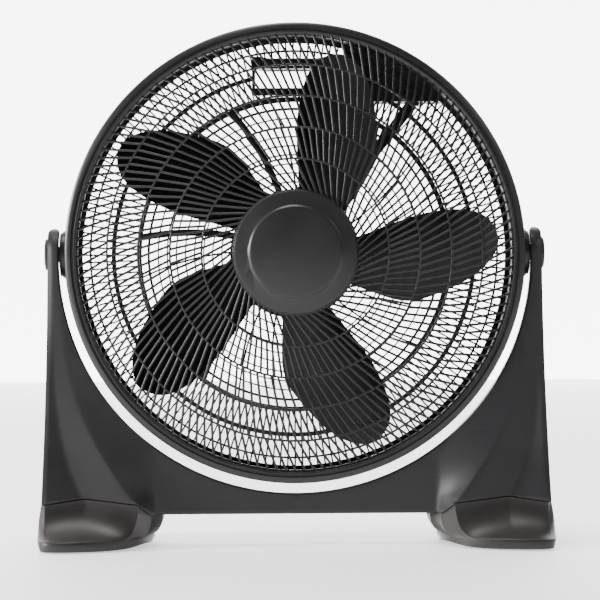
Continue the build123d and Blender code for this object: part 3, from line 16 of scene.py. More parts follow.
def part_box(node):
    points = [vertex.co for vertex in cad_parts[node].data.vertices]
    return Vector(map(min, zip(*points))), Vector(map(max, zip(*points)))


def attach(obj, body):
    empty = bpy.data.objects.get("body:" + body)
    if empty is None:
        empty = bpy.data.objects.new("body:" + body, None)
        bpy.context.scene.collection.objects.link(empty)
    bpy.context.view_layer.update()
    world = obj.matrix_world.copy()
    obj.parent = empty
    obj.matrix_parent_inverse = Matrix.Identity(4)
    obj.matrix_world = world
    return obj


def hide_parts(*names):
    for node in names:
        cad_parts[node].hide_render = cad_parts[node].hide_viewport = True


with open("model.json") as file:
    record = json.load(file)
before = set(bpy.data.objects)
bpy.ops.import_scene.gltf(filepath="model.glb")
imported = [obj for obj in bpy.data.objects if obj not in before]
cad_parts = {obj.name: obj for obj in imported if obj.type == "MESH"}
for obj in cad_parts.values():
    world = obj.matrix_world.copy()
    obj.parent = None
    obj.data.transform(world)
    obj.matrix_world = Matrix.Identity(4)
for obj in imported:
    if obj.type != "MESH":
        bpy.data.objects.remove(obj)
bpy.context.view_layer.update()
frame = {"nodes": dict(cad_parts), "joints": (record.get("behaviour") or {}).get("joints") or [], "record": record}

MM = 0.001
joints = {joint["name"]: joint for joint in frame["joints"]}
slots = {part["node"]: part["material_slot"] for part in frame["record"]["subparts"]}
AXIS_Z = joints["head_tilt"]["pos_m"][2]
print("frame", len(frame["nodes"]), "nodes, head axis at", round(AXIS_Z, 4), "m")

# %% [markdown]
# ## Camera, floor and light
# The fan is seen from far off with a long lens, a little from its left and with a very slight lean,
# so the camera is turned about the upright axis and then about its own line of sight.

# %% Camera
CAMERA_DISTANCE = 2.5
CAMERA_OFFSET = 0.00575
CAMERA_HEIGHT = 0.2785
CAMERA_YAW = math.radians(-1.0)
CAMERA_ROLL = math.radians(-0.3)
CAMERA_LENS = 130.5

camera = bpy.data.objects.new("camera", bpy.data.cameras.new("camera"))
bpy.context.scene.collection.objects.link(camera)
camera.data.lens = CAMERA_LENS
camera.data.sensor_width = 36.0
camera.data.clip_end = 50.0
turn = Matrix.Rotation(CAMERA_YAW, 4, "Z")
stand = Matrix.Translation((CAMERA_OFFSET, -CAMERA_DISTANCE, CAMERA_HEIGHT))
upright = Matrix.Rotation(math.pi / 2, 4, "X")
camera.matrix_world = turn @ stand @ upright @ Matrix.Rotation(CAMERA_ROLL, 4, "Z")
bpy.context.scene.camera = camera
print("camera", [round(value, 3) for value in camera.location])


# %% Building helpers
def add_object(name, data):
    """A new object in the scene, at the origin."""
    made = bpy.data.objects.new(name, data)
    bpy.context.scene.collection.objects.link(made)
    return made


def node(tree, kind, inputs=None, **settings):
    """A node with its settings and inputs; an input given a socket is linked to it."""
    made = tree.nodes.new(kind)
    for name, value in settings.items():
        setattr(made, name, value)
    for key, value in (inputs or {}).items():
        if isinstance(value, bpy.types.NodeSocket):
            tree.links.new(value, made.inputs[key])
        else:
            made.inputs[key].default_value = value
    return made


def calc(tree, operation, first, second=0.0, third=0.0):
    """The result of one Math node."""
    kind = "ShaderNodeMath"
    return node(tree, kind, {0: first, 1: second, 2: third}, operation=operation).outputs[0]


# %% Floor and lights
MIDDLE = Vector((0.0, 0.0, 0.3))  # the lights are aimed at this point of the fan
FLOOR_REACH = 12.0
WHITE = (1.0, 1.0, 1.0, 1.0)


def area_light(name, place, size, power, colour=(1.0, 1.0, 1.0)):
    """A soft square light aimed at the fan."""
    data = bpy.data.lights.new(name, "AREA")
    data.shape = "SQUARE"
    data.size = size
    data.energy = power
    data.color = colour
    lamp = add_object(name, data)
    lamp.location = place
    lamp.rotation_euler = (MIDDLE - Vector(place)).to_track_quat("-Z", "Y").to_euler()


def stage_sheet(name, corners, grey, roughness, glow):
    """A flat, softly glowing sheet of the studio, which is no part of the fan."""
    sheet = bmesh.new()
    sheet.faces.new([sheet.verts.new(corner) for corner in corners])
    mesh = bpy.data.meshes.new(name)
    sheet.to_mesh(mesh)
    sheet.free()
    paint = bpy.data.materials.new(name + "_paint")
    paint.use_nodes = True
    shader = paint.node_tree.nodes["Principled BSDF"].inputs
    shader["Base Color"].default_value = (grey, grey, grey, 1.0)
    shader["Roughness"].default_value = roughness
    shader["Emission Color"].default_value = WHITE
    shader["Emission Strength"].default_value = glow
    mesh.materials.append(paint)
    add_object(name, mesh)


area_light("key_light", (-2.9, -0.55, 0.9), 0.8, 190.0, (1.0, 0.97, 0.96))
area_light("fill_light", (2.2, -1.2, 1.9), 0.8, 16.0)
area_light("top_light", (-0.3, -0.3, 2.6), 0.9, 45.0, (1.0, 0.96, 0.95))

square = [(-1, -1), (1, -1), (1, 1), (-1, 1)]
stage_sheet("floor", [(x * FLOOR_REACH, y * FLOOR_REACH, 0.0) for x, y in square], 0.9, 0.6, 0.85)
# A lit screen stands behind the fan, so its edges and openings read against light.
stage_sheet("screen", [(6.0 * x, 5.0, 2.75 + 3.25 * z) for x, z in square], 0.8, 0.5, 6.0)

world = bpy.data.worlds.new("studio")
world.use_nodes = True
world.node_tree.nodes["Background"].inputs["Color"].default_value = WHITE
world.node_tree.nodes["Background"].inputs["Strength"].default_value = 0.05
bpy.context.scene.world = world

# %% [markdown]
# ## Moulded plastic
# Most of the fan is injection-moulded. The mould leaves a fine grain, the colour is never quite
# even, handling polishes some patches, and dust settles on what faces up. One node group holds all
# of that, so every plastic shares it and differs only in its values.


# %% Moulded plastic group
def shader_group(name, inputs, outputs):
    """An empty shader group with named sockets; gives its tree and its input sockets."""
    tree = bpy.data.node_groups.new(name, "ShaderNodeTree")
    for label, kind, value in inputs:
        tree.interface.new_socket(label, in_out="INPUT", socket_type=kind).default_value = value
    for label, kind in outputs:
        tree.interface.new_socket(label, in_out="OUTPUT", socket_type=kind)
    return tree, tree.nodes.new("NodeGroupInput").outputs


def noise(tree, place, scale, detail=2.0, roughness=0.5):
    """Noise over a place, from 0 to 1."""
    inputs = {"Vector": place, "Scale": scale, "Detail": detail, "Roughness": roughness}
    return node(tree, "ShaderNodeTexNoise", inputs).outputs["Fac"]


def spread(tree, value, low, high, to_low, to_high):
    """A value's range stretched onto another, and held inside it."""
    inputs = {"Value": value, 1: low, 2: high, 3: to_low, 4: to_high}
    return node(tree, "ShaderNodeMapRange", inputs).outputs["Result"]


def mixed(tree, factor, first, second, blend="MIX"):
    """Two colours mixed by a factor."""
    inputs = {"Factor": factor, 6: first, 7: second}
    made = node(tree, "ShaderNodeMix", inputs, data_type="RGBA", blend_type=blend)
    return made.outputs[2]


PLASTIC, given = shader_group(
    "moulded_plastic",
    [
        ("Colour", "NodeSocketColor", (0.03, 0.03, 0.03, 1.0)),
        ("Mottle", "NodeSocketFloat", 0.12),
        ("Grain scale", "NodeSocketFloat", 1800.0),
        ("Roughness", "NodeSocketFloat", 0.45),
        ("Polish", "NodeSocketFloat", 0.1),
        ("Dust", "NodeSocketFloat", 0.15),
        ("Scuffs", "NodeSocketFloat", 0.1),
    ],
    [("Colour", "NodeSocketColor"), ("Roughness", "NodeSocketFloat"), ("Height", "NodeSocketFloat")],
)
place = node(PLASTIC, "ShaderNodeTexCoord").outputs["Object"]
facing = node(PLASTIC, "ShaderNodeTexCoord").outputs["Normal"]
upward = node(PLASTIC, "ShaderNodeSeparateXYZ", {"Vector": facing}).outputs["Z"]
clouds = noise(PLASTIC, place, 14.0, 3.0)
grain = noise(PLASTIC, place, given["Grain scale"], 1.0)
speckle = noise(PLASTIC, place, 420.0, 4.0, 0.7)
streaks = node(PLASTIC, "ShaderNodeMapping", {"Vector": place, "Scale": (30.0, 30.0, 420.0)})
scratch = spread(PLASTIC, noise(PLASTIC, streaks.outputs["Vector"], 1.0, 3.0), 0.66, 0.74, 0.0, 1.0)
scratch = calc(PLASTIC, "MULTIPLY", scratch, given["Scuffs"])
shade = spread(PLASTIC, clouds, 0.3, 0.7, -1.0, 1.0)
shade = calc(PLASTIC, "MULTIPLY_ADD", shade, given["Mottle"], 1.0)
tinted = mixed(PLASTIC, 1.0, given["Colour"], shade, "MULTIPLY")
settled = calc(PLASTIC, "MULTIPLY", spread(PLASTIC, upward, 0.35, 1.0, 0.0, 1.0), given["Dust"])
settled = calc(PLASTIC, "MULTIPLY", settled, spread(PLASTIC, speckle, 0.35, 0.65, 0.2, 1.0))
dusty = mixed(PLASTIC, settled, tinted, (0.30, 0.28, 0.26, 1.0))
scuffed = mixed(PLASTIC, scratch, dusty, (0.22, 0.22, 0.23, 1.0))
worn = calc(PLASTIC, "MULTIPLY", spread(PLASTIC, clouds, 0.35, 0.65, -1.0, 1.0), given["Polish"])
rough = calc(PLASTIC, "ADD", given["Roughness"], worn)
rough = calc(PLASTIC, "ADD", rough, calc(PLASTIC, "MULTIPLY", settled, 0.6))
results = {"Colour": scuffed, "Roughness": rough, "Height": grain}
node(PLASTIC, "NodeGroupOutput", results)
print("group", PLASTIC.name, "with", len(PLASTIC.nodes), "nodes")


# %% Plastic finishes
def surfaced(name, group, values, bump, **shader_values):
    """A material whose colour, roughness and height come from a group."""
    material = bpy.data.materials.new(name)
    material.use_nodes = True
    tree = material.node_tree
    tree.nodes.clear()
    surface = node(tree, "ShaderNodeGroup", values, node_tree=group).outputs
    raised = node(
        tree, "ShaderNodeBump", {"Strength": 1.0, "Distance": bump, "Height": surface["Height"]}
    )
    inputs = {
        "Base Color": surface["Colour"],
        "Roughness": surface["Roughness"],
        "Normal": raised.outputs["Normal"],
    }
    inputs.update({key.replace("_", " "): value for key, value in shader_values.items()})
    shader = node(tree, "ShaderNodeBsdfPrincipled", inputs)
    node(tree, "ShaderNodeOutputMaterial", {"Surface": shader.outputs["BSDF"]})
    return material


def plastic(name, colour, roughness, bump=0.00004, grain=1800.0, dust=0.06, scuffs=0.03):
    """A moulded plastic of one colour."""
    values = {
        "Colour": (*colour, 1.0),
        "Roughness": roughness,
        "Grain scale": grain,
        "Mottle": 0.12,
        "Polish": 0.05,
        "Dust": dust,
        "Scuffs": scuffs,
    }
    return surfaced(name, PLASTIC, values, bump, Specular_IOR_Level=0.35)


finish = {
    "charcoal_plastic": plastic("textured_charcoal", (0.016, 0.0162, 0.018), 0.50),
    "foot_plastic": plastic("warm_charcoal", (0.021, 0.0188, 0.0185), 0.42),
    "bezel_plastic": plastic("satin_charcoal", (0.017, 0.0167, 0.018), 0.36, bump=0.00002),
    "guard_plastic": plastic("guard_charcoal", (0.014, 0.014, 0.015), 0.30, bump=0.00001, dust=0.05),
    "black_plastic": plastic("black_moulding", (0.008, 0.008, 0.009), 0.45),
    "blade_plastic": plastic("blade_black", (0.007, 0.007, 0.008), 0.28, bump=0.00001, scuffs=0.04),
    "knob_plastic": plastic("knob_black", (0.020, 0.020, 0.021), 0.30, bump=0.00001),
    "switch_plastic": plastic("cream_moulding", (0.52, 0.49, 0.42), 0.45, bump=0.00001),
    "rubber": plastic("black_rubber", (0.016, 0.016, 0.016), 0.75, bump=0.00006, grain=900.0),
}
print("plastics", sorted(finish))

# %% [markdown]
# ## Metal
# Rolled, plated and cast metal differ in how their marks run. Turned and rolled pieces have fine
# lines, castings have a coarse skin, and enamelled wire shows as round turns side by side. The group
# takes a stretch for its marks, so a long stretch gives lines and an even one gives a cast skin.

# %% Metal group and finishes
METAL, given = shader_group(
    "worked_metal",
    [
        ("Colour", "NodeSocketColor", (0.6, 0.6, 0.6, 1.0)),
        ("Stretch", "NodeSocketVector", (1.0, 1.0, 1.0)),
        ("Mark scale", "NodeSocketFloat", 400.0),
        ("Roughness", "NodeSocketFloat", 0.35),
        ("Tarnish", "NodeSocketFloat", 0.3),
    ],
    [("Colour", "NodeSocketColor"), ("Roughness", "NodeSocketFloat"), ("Height", "NodeSocketFloat")],
)
place = node(METAL, "ShaderNodeTexCoord").outputs["Object"]
stretched = node(METAL, "ShaderNodeMapping", {"Vector": place, "Scale": given["Stretch"]}).outputs[0]
marks = noise(METAL, stretched, given["Mark scale"], 4.0, 0.65)
stain = spread(METAL, noise(METAL, place, 60.0, 4.0), 0.4, 0.75, 0.0, 1.0)
stain = calc(METAL, "MULTIPLY", stain, given["Tarnish"])
dark = mixed(METAL, 1.0, given["Colour"], (0.45, 0.42, 0.38, 1.0), "MULTIPLY")
toned = mixed(METAL, stain, given["Colour"], dark)
rough = calc(METAL, "ADD", given["Roughness"], spread(METAL, marks, 0.3, 0.7, -0.08, 0.08))
rough = calc(METAL, "ADD", rough, calc(METAL, "MULTIPLY", stain, 0.25))
node(METAL, "NodeGroupOutput", {"Colour": toned, "Roughness": rough, "Height": marks})


def metal(name, colour, roughness, stretch, scale, bump):
    """A metal whose marks run along the axis with the smallest stretch."""
    values = {
        "Colour": (*colour, 1.0),
        "Stretch": stretch,
        "Mark scale": scale,
        "Roughness": roughness,
        "Tarnish": 0.3,
    }
    return surfaced(name, METAL, values, bump, Metallic=1.0)


EVEN = (1, 1, 1)
SHEETS = (0.02, 1, 0.02)
TURNS = (0.15, 1, 0.15)
finish["steel"] = metal("zinc_plated", (0.60, 0.60, 0.62), 0.32, EVEN, 900.0, 0.00001)
finish["cast_metal"] = metal("die_cast", (0.62, 0.62, 0.63), 0.48, EVEN, 700.0, 0.00008)
finish["lamination_steel"] = metal("stacked_sheet", (0.35, 0.35, 0.37), 0.4, SHEETS, 2000.0, 0.0001)
finish["copper"] = metal("wound_wire", (0.72, 0.38, 0.18), 0.3, TURNS, 1100.0, 0.0003)
for name, piece in frame["nodes"].items():
    piece.data.materials.clear()
    piece.data.materials.append(finish[slots[name]])
print("finishes", len(finish), "on", len(frame["nodes"]), "nodes")

# %% [markdown]
# ## Parts kept from the frame
# Housings, bells, caps and bolts have the right shape, but a machine-sharp edge never shows on a
# real moulding. Each one is copied, its doubled points are merged, and a narrow bevel rounds every
# edge sharper than a set angle, so the edges catch the light.


# %% Softened copies
WELD = 0.000002  # points nearer than this are one
FLAT_ANGLE = math.radians(0.6)  # faces that meet flatter than this are one
BEVEL_ANGLE = math.radians(32.0)


def body_of(name):
    """The body that a node belongs to."""
    return next(body for body, parts in frame["record"]["behaviour"]["bodies"].items() if name in parts)


def placed(copy, *names):
    """Give a finished piece its material, its body and the nodes that it stands for."""
    copy.data.materials.clear()
    copy.data.materials.append(finish[slots[names[0]]])
    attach(copy, body_of(names[0]))
    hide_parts(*names)
    return copy


def softened(name, width):
    """A copy of a node with rounded edges, standing for that node."""
    work = bmesh.new()
    work.from_mesh(frame["nodes"][name].data)
    bmesh.ops.remove_doubles(work, verts=work.verts, dist=WELD)
    bmesh.ops.dissolve_limit(work, angle_limit=FLAT_ANGLE, verts=work.verts, edges=work.edges)
    mesh = bpy.data.meshes.new(name + "_soft")
    work.to_mesh(mesh)
    work.free()
    if "custom_normal" in mesh.attributes:
        mesh.attributes.remove(mesh.attributes["custom_normal"])
    mesh.shade_smooth()
    copy = add_object(name + "_soft", mesh)
    bevel = copy.modifiers.new("edges", "BEVEL")
    bevel.width = width
    bevel.segments = 2
    bevel.limit_method = "ANGLE"
    bevel.angle_limit = BEVEL_ANGLE
    bevel.harden_normals = True
    bevel.miter_outer = "MITER_ARC"
    return placed(copy, name)


SOFT_EDGES = {  # width of the bevel, in millimetres
    "control_housing": 0.8,
    "control_cover": 0.7,
    "carry_handle": 1.6,
    "wiring_channel": 0.8,
    "motor_rear_cover": 0.8,
    "motor_front_bell": 0.6,
    "motor_rear_bell": 0.6,
    "speed_knob": 0.5,
    "cord_inlet": 0.6,
    "left_pivot_cap": 0.3,
    "right_pivot_cap": 0.3,
    "spinner_nut": 0.4,
    "shroud": 0.45,
    "hub_cap": 0.8,
    "fan_blade": 0.5,
}
for name, width in SOFT_EDGES.items():
    copy = softened(name, width * MM)
    print("softened", copy.name, len(copy.data.polygons), "faces")

# %% [markdown]
# ## Domed front guard
# The guard is a moulded basket: a rim, rings, and hundreds of slanted ribs whose number drops
# towards the hub. One rib follows a rule: it runs over a ball's surface from one ring to the next,
# straight when seen from the front but aslant. So Geometry Nodes make one rib for each zone and set
# it round.
# The guard is made lying flat with its crown up, and is stood up at the end.


# %% Geometry Nodes helpers
def geometry_tree(name, inputs):
    """An empty Geometry Nodes tree with named inputs; gives the tree and its input sockets."""
    tree = bpy.data.node_groups.new(name, "GeometryNodeTree")
    for label, kind, value in inputs:
        socket = tree.interface.new_socket(label, in_out="INPUT", socket_type=kind)
        if value is not None:
            socket.default_value = value
    tree.interface.new_socket("Geometry", in_out="OUTPUT", socket_type="NodeSocketGeometry")
    return tree, tree.nodes.new("NodeGroupInput").outputs


def vector(tree, x=0.0, y=0.0, z=0.0):
    """Three values as a vector."""
    return node(tree, "ShaderNodeCombineXYZ", {"X": x, "Y": y, "Z": z}).outputs["Vector"]


def joined(tree, parts):
    """Several geometries as one."""
    made = tree.nodes.new("GeometryNodeJoinGeometry")
    for part in parts:
        tree.links.new(part, made.inputs["Geometry"])
    return made.outputs["Geometry"]


def section(tree, width, depth):
    """A rounded bar's outline, for a curve to carry."""
    bar = node(tree, "GeometryNodeCurvePrimitiveQuadrilateral", {"Width": width, "Height": depth})
    radius = calc(tree, "MULTIPLY", calc(tree, "MINIMUM", width, depth), 0.32)
    inputs = {"Curve": bar.outputs["Curve"], "Radius": radius, "Count": 1}
    return node(tree, "GeometryNodeFilletCurve", inputs, mode="POLY").outputs["Curve"]


def finished(tree, geometry, material):
    """Stand the flat-made geometry up at the fan's axis, and close the tree."""
    turned = node(
        tree,
        "GeometryNodeTransform",
        {"Geometry": geometry, "Rotation": (math.pi / 2, 0.0, 0.0), "Translation": (0.0, 0.0, AXIS_Z)},
    ).outputs["Geometry"]
    real = node(tree, "GeometryNodeRealizeInstances", {"Geometry": turned}).outputs["Geometry"]
    smooth = node(tree, "GeometryNodeSetShadeSmooth", {"Geometry": real}).outputs["Geometry"]
    painted = node(tree, "GeometryNodeSetMaterial", {"Geometry": smooth, "Material": material})
    node(tree, "NodeGroupOutput", {"Geometry": painted.outputs["Geometry"]})


def grown(tree, name, values):
    """Run a tree on an empty object and keep the result as a plain mesh."""
    piece = add_object(name, bpy.data.meshes.new(name + "_seed"))
    modifier = piece.modifiers.new("nodes", "NODES")
    modifier.node_group = tree
    for item in tree.interface.items_tree:
        if item.in_out == "INPUT" and item.name in values:
            modifier[item.identifier] = values[item.name]
    shape = piece.evaluated_get(bpy.context.evaluated_depsgraph_get())
    mesh = bpy.data.meshes.new_from_object(shape)
    piece.modifiers.remove(modifier)
    mesh.name = name
    piece.data = mesh
    mesh.calc_loop_triangles()
    print(name, len(mesh.loop_triangles), "triangles")
    return piece


# %% One zone of ribs
RIB_STEPS = 6

RIB_ZONE, given = geometry_tree(
    "rib_zone",
    [
        ("Ribs", "NodeSocketInt", 100),
        ("Inner radius", "NodeSocketFloat", 0.1),
        ("Outer radius", "NodeSocketFloat", 0.14),
        ("Sweep", "NodeSocketFloat", 0.08),
        ("Ball radius", "NodeSocketFloat", 1.4),
        ("Crown", "NodeSocketFloat", 0.06),
        ("Width", "NodeSocketFloat", 0.002),
        ("Depth", "NodeSocketFloat", 0.003),
    ],
)


def ball_height(tree, radius, given):
    """Height of the middle of a rib on the ball at a radius."""
    ball = given["Ball radius"]
    squares = calc(tree, "SUBTRACT", calc(tree, "POWER", ball, 2.0), calc(tree, "POWER", radius, 2.0))
    drop = calc(tree, "SUBTRACT", ball, calc(tree, "SQRT", squares))
    middle = calc(tree, "MULTIPLY_ADD", given["Depth"], -0.5, given["Crown"])
    return calc(tree, "SUBTRACT", middle, drop)


tree = RIB_ZONE
line = node(tree, "GeometryNodeCurvePrimitiveLine").outputs["Curve"]
line = node(tree, "GeometryNodeResampleCurve", {"Curve": line, "Count": RIB_STEPS + 1}).outputs["Curve"]
along = node(tree, "GeometryNodeSplineParameter").outputs["Factor"]
start_x = calc(tree, "MULTIPLY", given["Inner radius"], calc(tree, "SINE", given["Sweep"]))
start_y = calc(tree, "MULTIPLY", given["Inner radius"], calc(tree, "COSINE", given["Sweep"]))
rise = calc(tree, "SUBTRACT", given["Outer radius"], start_y)
x = calc(tree, "MULTIPLY", calc(tree, "SUBTRACT", 1.0, along), start_x)
y = calc(tree, "MULTIPLY_ADD", along, rise, start_y)
squares = calc(tree, "ADD", calc(tree, "POWER", x, 2.0), calc(tree, "POWER", y, 2.0))
where = vector(tree, x, y, ball_height(tree, calc(tree, "SQRT", squares), given))
line = node(tree, "GeometryNodeSetPosition", {"Geometry": line, "Position": where}).outputs["Geometry"]
line = node(tree, "GeometryNodeSetCurveNormal", {"Curve": line}, mode="Z_UP").outputs["Curve"]
bar = section(tree, given["Width"], given["Depth"])
inputs = {"Curve": line, "Profile Curve": bar, "Fill Caps": True}
rib = node(tree, "GeometryNodeCurveToMesh", inputs).outputs["Mesh"]
step = calc(tree, "DIVIDE", -2 * math.pi, given["Ribs"])
spin = calc(tree, "MULTIPLY", node(tree, "GeometryNodeInputIndex").outputs["Index"], step)
points = node(tree, "GeometryNodePoints", {"Count": given["Ribs"]}).outputs["Geometry"]
inputs = {"Points": points, "Instance": rib, "Rotation": vector(tree, z=spin)}
around = node(tree, "GeometryNodeInstanceOnPoints", inputs).outputs["Instances"]
node(tree, "NodeGroupOutput", {"Geometry": around})
print("tree", tree.name, len(tree.nodes), "nodes")

# %% One ring
RING_STEPS = 150

RING, given = geometry_tree(
    "ball_ring",
    [
        ("Radius", "NodeSocketFloat", 0.1),
        ("Ball radius", "NodeSocketFloat", 1.4),
        ("Crown", "NodeSocketFloat", 0.06),
        ("Width", "NodeSocketFloat", 0.002),
        ("Depth", "NodeSocketFloat", 0.003),
    ],
)
tree = RING
inputs = {"Resolution": RING_STEPS, "Radius": given["Radius"]}
circle = node(tree, "GeometryNodeCurvePrimitiveCircle", inputs).outputs["Curve"]
offset = vector(tree, z=ball_height(tree, given["Radius"], given))
inputs = {"Geometry": circle, "Offset": offset}
circle = node(tree, "GeometryNodeSetPosition", inputs).outputs["Geometry"]
circle = node(tree, "GeometryNodeSetCurveNormal", {"Curve": circle}, mode="Z_UP").outputs["Curve"]
bar = section(tree, given["Width"], given["Depth"])
ring = node(tree, "GeometryNodeCurveToMesh", {"Curve": circle, "Profile Curve": bar}).outputs["Mesh"]
node(tree, "NodeGroupOutput", {"Geometry": ring})
print("tree", tree.name, len(tree.nodes), "nodes")

# %% The whole front guard
OPENING_R = 0.248
GUARD_DEPTH = 3.2 * MM
# From the hub out: how many ribs a zone has, and the degrees that each turns about the axis.
ZONES = ((66, 14.5), (110, 5.0), (110, 5.0), (146, 4.0), (146, 4.5))

GUARD, given = geometry_tree(
    "domed_guard",
    [
        ("Hub radius", "NodeSocketFloat", 0.07),
        ("Opening radius", "NodeSocketFloat", 0.248),
        ("Rim radius", "NodeSocketFloat", 0.252),
        ("Rim depth", "NodeSocketFloat", 0.006),
        ("Ball radius", "NodeSocketFloat", 1.39),
        ("Crown", "NodeSocketFloat", 0.065),
        ("Rib width", "NodeSocketFloat", 0.0028),
        ("Ring width", "NodeSocketFloat", 0.0024),
        ("Depth", "NodeSocketFloat", GUARD_DEPTH),
        ("Material", "NodeSocketMaterial", None),
    ],
)
tree = GUARD
ball = {"Ball radius": given["Ball radius"], "Crown": given["Crown"], "Depth": given["Depth"]}
reach = calc(tree, "SUBTRACT", given["Opening radius"], given["Hub radius"])
pitch = calc(tree, "DIVIDE", reach, len(ZONES))
parts = []
for zone, (ribs, sweep) in enumerate(ZONES):
    inner = calc(tree, "MULTIPLY_ADD", pitch, zone, given["Hub radius"])
    outer = calc(tree, "ADD", inner, pitch)
    inputs = {"Ribs": ribs, "Inner radius": inner, "Outer radius": outer, "Width": given["Rib width"]}
    inputs["Sweep"] = math.radians(sweep)
    inputs.update(ball)
    parts.append(node(tree, "GeometryNodeGroup", inputs, node_tree=RIB_ZONE).outputs[0])
    inputs = {"Radius": inner, "Width": given["Ring width"], **ball}
    parts.append(node(tree, "GeometryNodeGroup", inputs, node_tree=RING).outputs[0])
# The rim, and the plate behind the hub cap.
rim_width = calc(tree, "SUBTRACT", given["Rim radius"], given["Opening radius"])
rim_width = calc(tree, "ADD", rim_width, given["Ring width"])
rim_radius = calc(tree, "MULTIPLY_ADD", rim_width, -0.5, given["Rim radius"])
inputs = {"Radius": rim_radius, "Width": rim_width, **ball, "Depth": given["Rim depth"]}
parts.append(node(tree, "GeometryNodeGroup", inputs, node_tree=RING).outputs[0])
plate = node(
    tree,
    "GeometryNodeMeshCylinder",
    {"Vertices": 96, "Radius": given["Hub radius"], "Depth": given["Depth"]},
).outputs["Mesh"]
plate_z = calc(tree, "MULTIPLY_ADD", given["Depth"], -0.55, given["Crown"])
inputs = {"Geometry": plate, "Translation": vector(tree, z=plate_z)}
parts.append(node(tree, "GeometryNodeTransform", inputs).outputs["Geometry"])
finished(tree, joined(tree, parts), given["Material"])

guard_low, guard_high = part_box("front_grille")
hub_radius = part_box("hub_cap")[1].x
rim_depth = 6.0 * MM
sag = guard_high.y - rim_depth - guard_low.y
front_guard = grown(
    GUARD,
    "front_guard",
    {
        "Hub radius": hub_radius,
        "Opening radius": OPENING_R,
        "Rim radius": guard_high.x,
        "Rim depth": rim_depth,
        "Ball radius": (OPENING_R**2 + sag**2) / (2 * sag),
        "Crown": -guard_low.y,
        "Material": finish["guard_plastic"],
    },
)
placed(front_guard, "front_grille")

# %% [markdown]
# ## Yoke
# The yoke is two thin shells. Its front is one flowing surface: a flat crosspiece, a side panel that
# swells into the ridge of each leg, a valley beside the ridge, and the leg's outer edge. A few rules
# give the surface's depth at any spot. The mesh follows the ridge and the valley with its columns and
# the round trough with its rows, so each fold stays crisp. The trough's sides slope open to the rear.


# %% The rules of the leg
# Every size from here on is in millimetres.
foot_low, foot_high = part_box("right_foot")
FOOT_TIP = foot_low.x / MM
FOOT_OUTER = foot_high.x / MM
SOLE_Z = foot_low.z / MM
PIVOT_Z = AXIS_Z / MM
TROUGH_R = 268.2
TROUGH_Z = 328.2
SLOPE = 0.096  # how fast the trough opens towards the rear
ARM_OUTER = 281.4
ARM_TOP_R = 29.5
LEG_DEPTH = 68.0
LEG_WIDTH = 105.5
LEG_FLARE = 4.5
RIDGE_CURVE = 2.8  # the ridge leans out fast near the foot, and is upright near the pivot
EDGE_INSET = 4.0
CROSS_DEPTH = 38.0
CROSS_END = FOOT_TIP + 10.0
UNDERSIDE_Z = 36.5
SEAM_Z = 50.0
SEAM_PEAK = 6.5
SEAM_X = (FOOT_TIP + 14.0, FOOT_TIP + 27.5, ARM_OUTER - 43.0, ARM_OUTER + LEG_FLARE)
BLUR = 0.75  # spacing of the nine depths that are averaged to round a fold


def leg_lines(z):
    """X of the ridge, valley, edge and outer face at a level, the ridge's depth, and how far down it is."""
    down = 1.0 - min(max((z - SEAM_Z) / (PIVOT_Z - SEAM_Z), 0.0), 1.0)
    thickness = ARM_OUTER - TROUGH_R
    ridge = ARM_OUTER - thickness - (LEG_WIDTH - thickness) * down**RIDGE_CURVE
    outer = ARM_OUTER + LEG_FLARE * down**2
    edge = outer - EDGE_INSET
    valley = ridge + (edge - ridge) * (0.93 - 0.35 * down**2)
    depth = ARM_TOP_R + (LEG_DEPTH - ARM_TOP_R) * down**1.6
    return ridge, valley, edge, outer, depth, down


def fold_depth(x, z):
    """Depth of the front at a spot, folded sharply."""
    ridge, valley, edge, outer, depth, down = leg_lines(z)
    flat = min(CROSS_END, ridge)
    folds = [
        (flat, min(CROSS_DEPTH, depth - 0.5)),
        (ridge, depth),
        (valley, depth - 0.3 - 12.0 * down**2),
        (edge, depth - 0.9 - 1.5 * down),
        (outer, depth - 4.0),
    ]
    if x <= flat:
        return folds[0][1]
    for (x0, depth0), (x1, depth1) in zip(folds, folds[1:]):
        if x <= x1:
            return depth0 + (depth1 - depth0) * (x - x0) / max(x1 - x0, 0.001)
    return folds[-1][1]


def closing(z):
    """Share of the depth that is left at a level, as the arm's round top closes over."""
    above = min(max((z - PIVOT_Z) / ARM_TOP_R, 0.0), 1.0)
    return math.sqrt(1.0 - above**2)


def yoke_depth(x, z):
    """Depth of the front at a spot, with its folds rounded and the arm's top closed over."""
    depths = [fold_depth(x + BLUR * step, z) for step in range(-4, 5)]
    return sum(depths) / len(depths) * closing(z)


def seam_height(x):
    """Height of the yoke's underside: level, then a rise, then a low peak under the valley."""
    corners = list(zip(SEAM_X, (UNDERSIDE_Z, SEAM_Z, SEAM_Z + SEAM_PEAK, SEAM_Z)))
    if x <= SEAM_X[0]:
        return UNDERSIDE_Z
    for (x0, z0), (x1, z1) in zip(corners, corners[1:]):
        if x <= x1:
            return z0 + (z1 - z0) * (x - x0) / (x1 - x0)
    return SEAM_Z


print("ridge at the seam", round(leg_lines(SEAM_Z)[0], 1), "mm from the middle")


# %% Patches of a surface
SHELL_WALL = 2.6
SEAM_WELD = 0.00002  # metres; points of two patches nearer than this are one
BACK_STEPS = 5


def patch(work, rows):
    """Faces through a grid of points given in millimetres."""
    grid = [[work.verts.new([value * MM for value in point]) for point in row] for row in rows]
    for low, high in zip(grid, grid[1:]):
        for index in range(len(low) - 1):
            work.faces.new((low[index], low[index + 1], high[index + 1], high[index]))


def mirrored_patch(work, rows, turn):
    """A patch and its mirror image across the middle; turn is -1 for the front and 1 for the rear."""
    for side in (1, -1):
        patch(work, [[(side * x, turn * y, z) for x, y, z in row] for row in rows])


